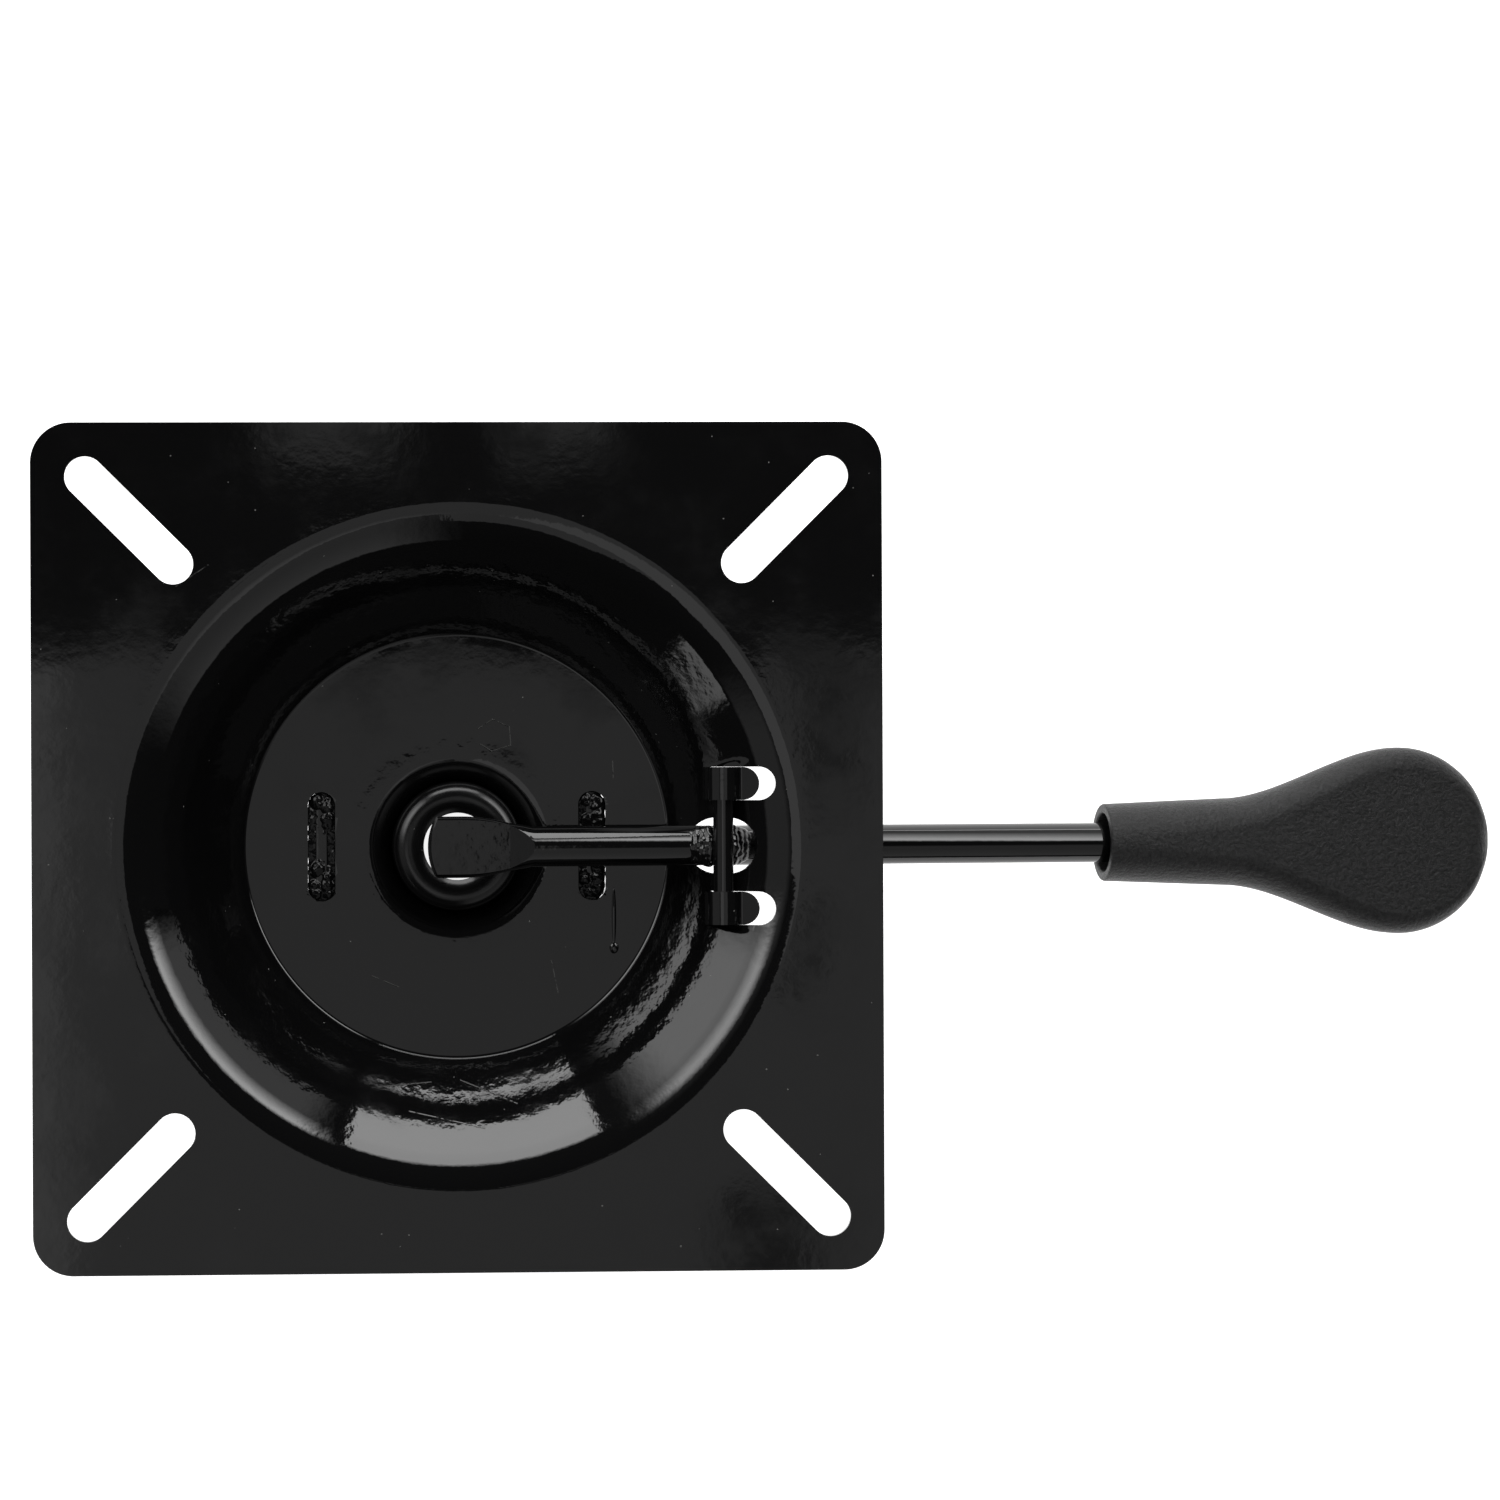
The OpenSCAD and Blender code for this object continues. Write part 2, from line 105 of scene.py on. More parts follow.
TONGUE_IN_R = PIN_R + PIN_CLEAR
TONGUE_OUT_R = TONGUE_IN_R + TONGUE_T
TONGUE_ROOT_X = PIVOT_X - TONGUE_IN_R
ROD_D, LEVER_DROOP, INNER_REACH, OUTER_REACH, ROD_GRIP = 9.5, math.radians(9.5), 69.3, 95.2, 68
PADDLE_W, PADDLE_T, PADDLE_L, PADDLE_HEEL_W = 14.5, 4.5, 18.9, 11.4
PADDLE_SLOPE_L, PADDLE_END_ARC, PADDLE_DRAW_L = 5.5, 1.9, 11.3
ROD_R = ROD_D / 2
ROD_DROP = PIN_R + ROD_R
FLAT_END = -INNER_REACH + PADDLE_L
SLOPE_END = FLAT_END + PADDLE_SLOPE_L
ROD_END = OUTER_REACH + ROD_GRIP
print("pivot at", PIVOT_X, round(PIVOT_Z, 3))

# %% Knob
KNOB_L, COLLAR_D, KNOB_NECK_D, KNOB_NECK_L = 97.2, 18.6, 21, 30
HEAD_W, HEAD_T, HEAD_EDGE_R, HOLLOW_D, HOLLOW_L, KNOB_FIT = 45.2, 13, 5.4, 14, 14, 0.05
HEAD_R = HEAD_W / 2
HEAD_S = KNOB_L - HEAD_R


def smooth_step(t):
    u = min(1, max(0, t))
    return u * u * (3 - 2 * u)


def knob_half(s):
    if s > HEAD_S:
        return math.sqrt(max(0, HEAD_R ** 2 - (s - HEAD_S) ** 2))
    neck = (COLLAR_D + (KNOB_NECK_D - COLLAR_D) * min(1, s / KNOB_NECK_L)) / 2
    return neck + (HEAD_R - KNOB_NECK_D / 2) * smooth_step((s - KNOB_NECK_L) / (HEAD_S - KNOB_NECK_L))


def knob_half_t(s):
    d = min(HEAD_EDGE_R, KNOB_L - s)
    tip_drop = HEAD_EDGE_R - math.sqrt(HEAD_EDGE_R ** 2 - (HEAD_EDGE_R - d) ** 2)
    return COLLAR_D / 2 + (HEAD_T / 2 - COLLAR_D / 2) * smooth_step(s / HEAD_S) - tip_drop


def knob_edge_r(s):
    return min(knob_half(s), knob_half_t(s), COLLAR_D + (HEAD_EDGE_R - COLLAR_D) * smooth_step(s / HEAD_S))


print("knob head from", round(HEAD_S, 1), "to", KNOB_L)

# %% [markdown]
# ## Camera
# The photograph looks at the seat side almost along the dish's axis, from about 1.6 m with a long lens.
# Its place and turn were found from the plate's corners, the slots and the rod.

# %% Camera
PHOTO_W, FOCAL_PX, SENSOR_W, FAR_CLIP = 1500, 6805.3, 36, 50
CAMERA_AT, CAMERA_TURN = (-0.032, 0.024, 1.6), (-0.0006, -0.0628, -0.004)
bpy.ops.object.camera_add(location=CAMERA_AT, rotation=CAMERA_TURN)
camera = bpy.context.object
camera.data.sensor_width = SENSOR_W
camera.data.lens = FOCAL_PX * SENSOR_W / PHOTO_W
camera.data.clip_end = FAR_CLIP
bpy.context.scene.camera = camera
print("lens", round(camera.data.lens, 1), "mm")

# %% [markdown]
# ## Working by hand, in code
# Each piece is made with the tools that a modeller uses by hand: a primitive, extrude, spin, bevel, and
# modifiers that are applied. These helpers open a mesh, pick its parts by their place, and extrude,
# bevel, clean and cut it.


# %% Helpers for editing
NEAR = 0.01    # places that are closer than this, in millimetres, count as one
SHARP = 1      # a corner of more than about 57 degrees, in radians, is a sharp edge


def deselect():
    if bpy.context.object and bpy.context.object.mode != "OBJECT":
        bpy.ops.object.mode_set(mode="OBJECT")
    bpy.ops.object.select_all(action="DESELECT")


def hold(obj):
    """Selects one object alone and makes it the active one."""
    deselect()
    obj.select_set(True)
    bpy.context.view_layer.objects.active = obj


def edit(obj, mode="VERT"):
    """Opens a mesh for editing, with all of it selected."""
    hold(obj)
    bpy.ops.object.mode_set(mode="EDIT")
    bpy.ops.mesh.select_mode(type=mode)
    bpy.ops.mesh.select_all(action="SELECT")


def done(obj):
    """Leaves edit mode. The other helpers do so by themselves, before they start."""
    bpy.ops.object.mode_set(mode="OBJECT")
    return obj


def pick(obj, kind, test):
    """In edit mode, selects only the verts, edges or faces for which test says yes."""
    bpy.ops.mesh.select_all(action="DESELECT")
    mesh = bmesh.from_edit_mesh(obj.data)
    count = 0
    for part in getattr(mesh, kind):
        if test(part):
            part.select = True
            count += 1
    mesh.select_flush_mode()
    bmesh.update_edit_mesh(obj.data)
    return count


def pull(x, y, z):
    """Extrudes what is selected by so many millimetres."""
    bpy.ops.mesh.extrude_region_move(TRANSFORM_OT_translate={"value": (x * MM, y * MM, z * MM)})


def bevel_edges(width, segments=3, clamp=True):
    bpy.ops.mesh.bevel(
        offset=width * MM, segments=segments, affect="EDGES", profile=0.5, clamp_overlap=clamp)


def middle(part):
    """The middle of an edge or face, in millimetres."""
    return sum((v.co for v in part.verts), Vector()) / len(part.verts) / MM


def modify(obj, kind, **settings):
    """Adds a modifier, sets it and applies it."""
    hold(obj)
    bpy.ops.object.modifier_add(type=kind)
    modifier = obj.modifiers[-1]
    for name, value in settings.items():
        setattr(modifier, name, value)
    bpy.ops.object.modifier_apply(modifier=modifier.name)
    return obj


def close_up(obj, near=NEAR):
    """Merges doubles, then turns all faces outwards."""
    edit(obj)
    bpy.ops.mesh.remove_doubles(threshold=near * MM)
    bpy.ops.mesh.select_all(action="SELECT")
    bpy.ops.mesh.normals_make_consistent(inside=False)
    return done(obj)


def boolean(obj, tool, operation="DIFFERENCE"):
    """Cuts with the tool, or joins it on, and takes the tool away."""
    modify(obj, "BOOLEAN", operation=operation, solver="EXACT", object=tool)
    bpy.data.objects.remove(tool)
    return obj


def soften(obj, width, angle=40):
    """Rounds the sharp edges a little, as paint and tumbling do."""
    return modify(obj, "BEVEL", width=width * MM, segments=3, limit_method="ANGLE",
                  angle_limit=math.radians(angle), use_clamp_overlap=True, miter_outer="MITER_ARC")


def shade(obj, angle=35):
    """Smooth shading that keeps flat faces flat."""
    hold(obj)
    bpy.ops.object.shade_smooth_by_angle(angle=math.radians(angle))
    return modify(obj, "WEIGHTED_NORMAL", keep_sharp=True, weight=100)


def fix_place(obj):
    """Writes the piece's place, turn and scale into its mesh."""
    hold(obj)
    bpy.ops.object.transform_apply(location=True, rotation=True, scale=True)
    return obj


# %% Helpers for lines, turned forms and prisms
def draw_line(name, points, closed=False):
    """One vertex, extruded from point to point, in millimetres."""
    deselect()
    bpy.ops.mesh.primitive_plane_add(size=MM)
    obj = bpy.context.object
    obj.name = obj.data.name = name
    edit(obj)
    bpy.ops.mesh.merge(type="CENTER")
    bpy.ops.transform.translate(value=Vector(points[0]) * MM)
    for here, there in zip(points, points[1:]):
        bpy.ops.mesh.extrude_region_move(
            TRANSFORM_OT_translate={"value": (Vector(there) - Vector(here)) * MM})
    if closed:
        bpy.ops.mesh.select_all(action="SELECT")
        bpy.ops.mesh.edge_face_add()
    return done(obj)


def arc(centre, r, start, end, steps):
    """Points of an arc in a plane, from one angle to another in degrees."""
    turns = [math.radians(start + (end - start) * i / steps) for i in range(steps + 1)]
    return [(centre[0] + r * math.cos(a), centre[1] + r * math.sin(a)) for a in turns]


def between(a, b, steps):
    """Points on the way from a to b, without the two ends."""
    return [tuple(p + (q - p) * i / steps for p, q in zip(a, b)) for i in range(1, steps)]


def turn_form(name, section, steps, closed=False):
    """Spins a section of (radius, height) points round the dish's axis."""
    section = section + section[:1] if closed else section
    obj = draw_line(name, [(r, 0, z) for r, z in section])
    edit(obj)
    bpy.ops.mesh.spin(steps=steps, angle=2 * math.pi, center=(0, 0, 0), axis=(0, 0, 1))
    return close_up(obj)


SLOT_RING, ALONG_X = 96, (0, math.pi / 2, 0)


def oblong(length, width, low, high, at=(0, 0), turn=0):
    """A prism with round ends, to cut slots: half of a circle is pulled to each side."""
    deselect()
    bpy.ops.mesh.primitive_circle_add(
        vertices=SLOT_RING, radius=width / 2 * MM, fill_type="NGON", rotation=(0, 0, math.pi / SLOT_RING))
    obj = fix_place(bpy.context.object)
    edit(obj)
    for side in (-1, 1):
        pick(obj, "verts", lambda v: v.co.x * side > 0)
        bpy.ops.transform.translate(value=(side * (length - width) / 2 * MM, 0, 0))
    bpy.ops.mesh.select_all(action="SELECT")
    bpy.ops.transform.translate(value=(0, 0, low * MM))
    pull(0, 0, high - low)
    done(obj)
    obj.location = (at[0] * MM, at[1] * MM, 0)
    obj.rotation_euler = (0, 0, turn)
    return close_up(fix_place(obj))


def on_lever(obj):
    """Brings a piece from the bar's own frame, with the bar along X, to its place on the lever."""
    turn = Matrix.Rotation(LEVER_DROOP, 4, "Y")
    obj.rotation_euler = (0, LEVER_DROOP, 0)
    obj.location = (Vector((PIVOT_X, 0, PIVOT_Z)) + turn @ Vector((0, 0, -ROD_DROP))) * MM
    return fix_place(obj)


def report(obj):
    """Prints what was made: its faces, and its box in millimetres."""
    print(obj.name, len(obj.data.polygons), "faces, box", [round(s / MM, 1) for s in obj.dimensions])


# %% [markdown]
# ## The pressed plate: dish
# One sheet of steel, 2.5 mm thick, is pressed into a dish with a flat floor and a short neck. A pressed
# sheet is modelled as one surface. A line is drawn along its section, spun round the axis in fine steps,
# so that the gloss paint mirrors without facets, and given its thickness at the end.

# %% Dish
JOIN_R = RIM_R + 2.7    # the dish's mesh ends here, in the flat flange
TURN_STEPS = 288
wall_degrees = math.degrees(WALL_ANGLE)
mouth_arc = arc((MOUTH_R, FLOOR_Z - MOUTH_BEND_R), MOUTH_BEND_R, 180, 90, 14)
corner_arc = arc((FLOOR_R, FLOOR_Z + FLOOR_BEND_R), FLOOR_BEND_R, 270, 270 + wall_degrees, 8)
rim_arc = arc((RIM_R, -RIM_BEND_R), RIM_BEND_R, 90 + wall_degrees, 90, 36)
section = ([(NECK_R, NECK_Z)] + mouth_arc + between(mouth_arc[-1], corner_arc[0], 16) + corner_arc
           + between(corner_arc[-1], rim_arc[0], 18) + rim_arc + [(JOIN_R, 0)])
plate = turn_form("pressed_plate", section, TURN_STEPS)
edit(plate, "FACE")
floor_faces = [f for f in bmesh.from_edit_mesh(plate.data).faces if abs(middle(f).z - FLOOR_Z) < NEAR]
if floor_faces[0].normal.z < 0:
    bpy.ops.mesh.flip_normals()
modify(plate, "SOLIDIFY", thickness=SHEET_T * MM, offset=-1, use_even_offset=True)
report(plate)

# %% [markdown]
# ## The pressed plate: flange and bolt slots
# The flange is the flat rest of the sheet. Four long slots point to the centre, so that the plate fits
# more than one pattern of screw holes. The flange is a plane with rounded corners, and its inner edge
# has the same points as the dish, so that the two are merged into one.

# %% Flange
SLOT_CUT = 10
deselect()
bpy.ops.mesh.primitive_plane_add(size=PLATE_SIDE * MM)
flange = bpy.context.object
edit(flange)
bpy.ops.mesh.bevel(offset=PLATE_CORNER_R * MM, offset_type="OFFSET", segments=20, affect="VERTICES")
bpy.ops.mesh.select_all(action="SELECT")
pull(0, 0, -SHEET_T)
close_up(flange)
deselect()
bpy.ops.mesh.primitive_cylinder_add(vertices=TURN_STEPS, radius=JOIN_R * MM, depth=2 * SLOT_CUT * MM)
boolean(flange, bpy.context.object)
for quarter in range(4):
    turn = math.radians(45 + 90 * quarter)
    reach = SLOT_PITCH / 2 * math.sqrt(2)
    slot_at = (reach * math.cos(turn), reach * math.sin(turn))
    boolean(flange, oblong(SLOT_L, SLOT_W, -SLOT_CUT, SLOT_CUT, slot_at, turn))
report(flange)

# %% Join the flange to the dish
EDGE_SOFT, RIM_NEAR, LEVEL = 0.35, 0.05, 1e-6


def is_rim(part):
    m = middle(part)
    return abs(math.hypot(m.x, m.y) - JOIN_R) < RIM_NEAR


def is_rim_wall(face):
    return is_rim(face) and abs(face.normal.z) < 0.5


def is_flange_edge(edge):
    level = abs((edge.verts[0].co - edge.verts[1].co).z) < LEVEL
    return len(edge.link_faces) == 2 and edge.calc_face_angle() > SHARP and not is_rim(edge) and level


edit(flange, "EDGE")
pick(flange, "edges", is_flange_edge)
bevel_edges(EDGE_SOFT)
bpy.ops.mesh.select_mode(type="FACE")
pick(flange, "faces", is_rim_wall)
bpy.ops.mesh.delete(type="FACE")
edit(plate, "FACE")
pick(plate, "faces", is_rim_wall)
bpy.ops.mesh.delete(type="FACE")
hold(plate)
flange.select_set(True)
bpy.ops.object.join()
close_up(plate, 0.02)
report(plate)

# %% [markdown]
# ## The pressed plate: windows and slots in the dish
# Two slots in the floor take the tabs of the bracket. In the wall are a window for the lever and, on
# each side of it, a window that is left where a tongue was sheared free. All are cut straight down.

# %% Windows
CUT_LOW, CUT_HIGH = -50, 20
for side in (-1, 1):
    boolean(plate, oblong(TAB_SLOT_L, TAB_SLOT_W, CUT_LOW, CUT_HIGH, (side * LEG_X, 0), math.pi / 2))
boolean(plate, oblong(LEVER_WINDOW_L, LEVER_WINDOW_W, CUT_LOW, CUT_HIGH, (PIVOT_X, 0)))
window_w = TONGUE_W + 2 * TONGUE_GAP
window_far = PIVOT_X + TONGUE_WINDOW_REACH
window_l = 2 * (window_far - window_w / 2 - TONGUE_ROOT_X) + window_w
for side in (-1, 1):
    window = oblong(window_l, window_w, CUT_LOW, CUT_HIGH, (window_far - window_l / 2, side * TONGUE_Y))
    edit(window)
    bpy.ops.mesh.bisect(
        plane_co=(TONGUE_ROOT_X * MM, 0, 0), plane_no=(-1, 0, 0), use_fill=True, clear_outer=True)
    boolean(plate, close_up(window))
report(plate)

# %% Round the sheared edges of the windows
WINDOWS_FROM, WINDOWS_TO, SHEAR_ANGLE, UPRIGHT, SHEAR_SOFT = 24, 80, 0.6, 0.02, 0.3


def is_sheared(edge):
    """An edge between an upright cut face and the sheet's own face, anywhere in the dish."""
    if len(edge.link_faces) != 2 or edge.calc_face_angle() < SHEAR_ANGLE:
        return False
    upright = [abs(f.normal.z) < UPRIGHT for f in edge.link_faces]
    m = middle(edge)
    return upright[0] != upright[1] and WINDOWS_FROM < math.hypot(m.x, m.y) < WINDOWS_TO


edit(plate, "EDGE")
sheared = pick(plate, "edges", is_sheared)
bevel_edges(SHEAR_SOFT)
done(plate)
print("sheared edges", sheared)
report(plate)

# %% [markdown]
# ## The pressed plate: tongues
# Two tongues are sheared free on three sides, drawn up over the cross pin and set down behind it. They
# hold the pin with no screw or rivet. The section is drawn as a line: up from the wall, over the pin,
# down, and out in a tail. It is pulled to the tongue's width, and its end is cut round.


# %% Tongues
TONGUE_PAINT = 0.32    # paint fills most of the sheared gap beside a tongue
TONGUE_SPARE = 1       # the drawn tongue is longer and wider by this, and is then cut to its outline
TONGUE_START = 16      # the outline starts this far behind the pivot, inside the wall
OUTLINE_LOW, OUTLINE_HIGH = -40, 20


def tongue_section():
    """The closed section: outside up from the wall and over the pin, then back along the inside."""
    heel = (PIVOT_X + (TONGUE_OUT_R + TONGUE_HEEL_R) * math.cos(TONGUE_WRAP),
            PIVOT_Z + (TONGUE_OUT_R + TONGUE_HEEL_R) * math.sin(TONGUE_WRAP))
    wrap, tail = math.degrees(TONGUE_WRAP), math.degrees(TAIL_SLOPE)
    top = arc(heel, TONGUE_HEEL_R, 180 + wrap, 270 + tail, 8)
    under = arc(heel, TONGUE_HEEL_R + TONGUE_T, 270 + tail, 180 + wrap, 12)
    tail_l = (PIVOT_X + TAIL_REACH - top[-1][0]) / math.cos(TAIL_SLOPE) + TONGUE_SPARE
    along_x, along_z = math.cos(TAIL_SLOPE) * tail_l, math.sin(TAIL_SLOPE) * tail_l
    tail_end = [(x + along_x, z + along_z) for x, z in (top[-1], under[0])]
    root_out = PIVOT_X - TONGUE_OUT_R
    mid_wall = SHEET_T / 2 / math.cos(WALL_ANGLE)
    return ([(root_out, wall_z(math.hypot(root_out, TONGUE_Y)) - mid_wall)]
            + arc((PIVOT_X, PIVOT_Z), TONGUE_OUT_R, 180, wrap, 28) + top
            + tail_end + under + arc((PIVOT_X, PIVOT_Z), TONGUE_IN_R, wrap, 180, 24)
            + [(TONGUE_ROOT_X, wall_z(math.hypot(TONGUE_ROOT_X, TONGUE_Y)) - mid_wall)])


for side in (-1, 1):
    wide = TONGUE_W + 2 * TONGUE_SPARE
    y = side * TONGUE_Y - wide / 2
    tongue = draw_line("tongue", [(x, y, z) for x, z in tongue_section()], closed=True)
    edit(tongue)
    pull(0, wide, 0)
    close_up(tongue, 0.002)
    end_x, start_x = PIVOT_X + TAIL_REACH, PIVOT_X - TONGUE_START
    outline = oblong(end_x - start_x, TONGUE_W + TONGUE_PAINT, OUTLINE_LOW, OUTLINE_HIGH,
                     ((start_x + end_x) / 2, side * TONGUE_Y))
    boolean(tongue, outline, "INTERSECT")
    soften(tongue, EDGE_SOFT, angle=50)
    boolean(plate, tongue, "UNION")
report(plate)

# %% [markdown]
# ## The pressed plate: paint run
# The paint was put on thick, and a run has dried on the floor of the dish, with a drop at its end. It is
# a low ridge: a sphere is pulled long and sunk into the floor.

# %% Paint run
RUN_X, RUN_TOP, RUN_END, RUN_R, DROP_R = 37.4, -9.6, -24.4, 0.75, 1.1
RUN_SINK, DROP_SINK = 0.12, 0.1


def pulled_ball(radius, scale, y, sink):
    """A ball pulled to a scale, with its middle sunk a little below the floor of the dish."""
    deselect()
    bpy.ops.mesh.primitive_uv_sphere_add(segments=32, ring_count=16, radius=radius * MM)
    obj = bpy.context.object
    obj.scale = scale
    obj.location = (RUN_X * MM, y * MM, (FLOOR_Z - sink) * MM)
    return fix_place(obj)


run = pulled_ball(RUN_R, (0.75, (RUN_TOP - RUN_END) / (2 * RUN_R), 0.5), (RUN_TOP + RUN_END) / 2, RUN_SINK)
drop = pulled_ball(DROP_R, (1, 1.35, 0.6), RUN_END, DROP_SINK)
boolean(run, drop, "UNION")
boolean(plate, run, "UNION")
shade(plate)
report(plate)

# %% [markdown]
# ## Taper socket
# The socket is a deep-drawn cup, mouth down, whose bore tapers by the slope that gas springs share.
# Its top stands in the dish as a hub, with a rolled hole for the spring's button. It is a turned form:
# the closed section is drawn and spun.

# %% Taper socket
crown_x = socket_outer_r(SOCKET_TOP_Z - CROWN_R) - CROWN_R
roll = math.degrees(math.asin((crown_x - BUTTON_D / 2) / HOLE_ROLL_R))
in_top_z = SOCKET_TOP_Z - HOLE_ROLL_R * (1 - math.cos(math.radians(roll))) - HOLE_LAND
in_corner_r = CROWN_R / 2
in_x = socket_r(in_top_z - in_corner_r) - in_corner_r
LIP = 0.4
foot_out, foot_in = socket_outer_r(SOCKET_FOOT_Z), socket_r(SOCKET_FOOT_Z)
section = (arc((foot_out - LIP, SOCKET_FOOT_Z + LIP), LIP, 270, 360, 4)
           + between((foot_out, SOCKET_FOOT_Z + LIP), (crown_x + CROWN_R, SOCKET_TOP_Z - CROWN_R), 24)
           + arc((crown_x, SOCKET_TOP_Z - CROWN_R), CROWN_R, 0, 90, 20)
           + arc((crown_x, SOCKET_TOP_Z - HOLE_ROLL_R), HOLE_ROLL_R, 90, 90 + roll, 14)[1:]
           + [(BUTTON_D / 2, in_top_z)]
           + arc((in_x, in_top_z - in_corner_r), in_corner_r, 90, 0, 8)
           + between((in_x + in_corner_r, in_top_z - in_corner_r), (foot_in, SOCKET_FOOT_Z + LIP), 24)
           + arc((foot_in + LIP, SOCKET_FOOT_Z + LIP), LIP, 180, 270, 4))
socket = shade(turn_form("taper_socket", section, 144, closed=True), 30)
report(socket)

# %% [markdown]
# ## Bracket
# A strap bent to a U holds the lower end of the socket. Two tabs on its legs stand in the floor's slots.
# The strap's middle line is drawn, pulled to its width and given its thickness. The tabs are extruded
# from its two ends, and the hole in the web is cut with a cylinder.

# %% Bracket
WEB_CUT, STRAP_SOFT = 12, 0.4
shoulder_w = (BRACKET_W - TAB_W) / 2
bend_r = BRACKET_BEND_R - BRACKET_T / 2
bend_x, bend_z = LEG_X - bend_r, WEB_Z + BRACKET_T / 2 + bend_r
top_z = FLOOR_Z - SHEET_T
left_bend = arc((-bend_x, bend_z), bend_r, 180, 270, 12)
right_bend = arc((bend_x, bend_z), bend_r, 270, 360, 12)
strap_line = [(-LEG_X, top_z)] + left_bend + right_bend + [(LEG_X, top_z)]
strap = draw_line("bracket_strap", [(x, -BRACKET_W / 2, z) for x, z in strap_line])
edit(strap)
for width in (shoulder_w, TAB_W, shoulder_w):
    pull(0, width, 0)
bpy.ops.mesh.select_mode(type="EDGE")
pick(strap, "edges", lambda e: abs(middle(e).z - top_z) < NEAR and abs(middle(e).y) < 1)
pull(0, 0, SHEET_T - TAB_RECESS)
close_up(strap)
modify(strap, "SOLIDIFY", thickness=BRACKET_T * MM, offset=0, use_even_offset=True)
deselect()
bpy.ops.mesh.primitive_cylinder_add(
    vertices=144, radius=(socket_outer_r(WEB_Z) + SOCKET_FIT) * MM,
    depth=WEB_CUT * MM, location=(0, 0, WEB_Z * MM))
boolean(strap, bpy.context.object)
soften(strap, STRAP_SOFT)
shade(strap)
report(strap)

# %% [markdown]
# ## Ring welds
# The socket is welded to the neck and to the bracket by a bead that runs all round. A bead is a row of
# small overlapping pools. One pool is a flattened ball, spun in copies round the axis. A voxel remesh
# melts the copies into one skin.


# %% Ring welds
POOL_R, POOL_OUT, POOL_DOWN, POOL_FLAT = 0.62, 0.32, 0.3, 0.8    # in shares of the bead's size
RING_VOXEL, NECK_POOLS, FOOT_POOLS = 0.3, 56, 62


def melt(obj, voxel, smoothing, name):
    """Melts overlapping shells into one skin and relaxes it."""
    obj.name = obj.data.name = name
    modify(obj, "REMESH", mode="VOXEL", voxel_size=voxel * MM, use_smooth_shade=True)
    return modify(obj, "SMOOTH", factor=0.5, iterations=smoothing)


def ring_bead(name, z, pools):
    """A bead round the socket: copies of one pool of weld, melted together."""
    deselect()
    r = socket_outer_r(z) + RING_WELD * POOL_OUT
    bpy.ops.mesh.primitive_uv_sphere_add(segments=20, ring_count=12, radius=RING_WELD * POOL_R * MM)
    obj = bpy.context.object
    obj.scale = (1, POOL_FLAT, 1)
    obj.location = (r * MM, 0, (z - RING_WELD * POOL_DOWN) * MM)
    fix_place(obj)
    edit(obj)
    bpy.ops.mesh.spin(steps=pools, angle=2 * math.pi, center=(0, 0, 0), axis=(0, 0, 1), dupli=True,
                      use_auto_merge=False)
    return melt(obj, RING_VOXEL, 2, name)


neck_bead = ring_bead("neck_bead", NECK_Z, NECK_POOLS)
foot_bead = ring_bead("foot_bead", WEB_Z, FOOT_POOLS)
report(neck_bead)
report(foot_bead)

# %% [markdown]
# ## Plug welds of the tabs
# Each tab is welded in its slot from the seat side. The weld has rough lumps at both ends of the slot,
# and lies low between them, so that the tab's end shows. The lumps are balls of several sizes, melted
# into one skin with a body that fills the slot. A cloud texture pushes the skin in and out, for the
# crinkled face of the metal.

# %% Plug welds
random.seed(11)
PLUG_STEPS, PLUG_LOW_STEPS, PLUG_STEP, PLUG_START = 9, 2, 0.95, 1.9
PLUG_FLAT, PLUG_VOXEL, FILL_CLEAR, FILL_TOP, FILL_FOOT = 0.8, 0.2, 0.05, 0.7, 2.3


def ball(x, y, z, radius, flat=1.0):
    """A ball of weld metal, in millimetres."""
    bpy.ops.mesh.primitive_uv_sphere_add(
        segments=20, ring_count=12, radius=radius * MM,
        location=(x * MM, y * MM, z * MM), scale=(1, 1, flat))
    return bpy.context.object


def melt_balls(name, balls, voxel, smoothing):
    """Joins the balls and melts them into one piece."""
    hold(balls[0])
    for other in balls[1:]:
        other.select_set(True)
    bpy.ops.object.join()
    return melt(fix_place(balls[0]), voxel, smoothing, name)


def crinkle(obj, grain, depth):
    """Pushes a skin in and out by a cloud texture."""
    clouds = bpy.data.textures.new(obj.name + "_clouds", "CLOUDS")
    clouds.noise_scale = grain * MM
    clouds.noise_depth = 1
    return modify(obj, "DISPLACE", texture=clouds, texture_coords="LOCAL", strength=depth * MM,
                  mid_level=0.55)


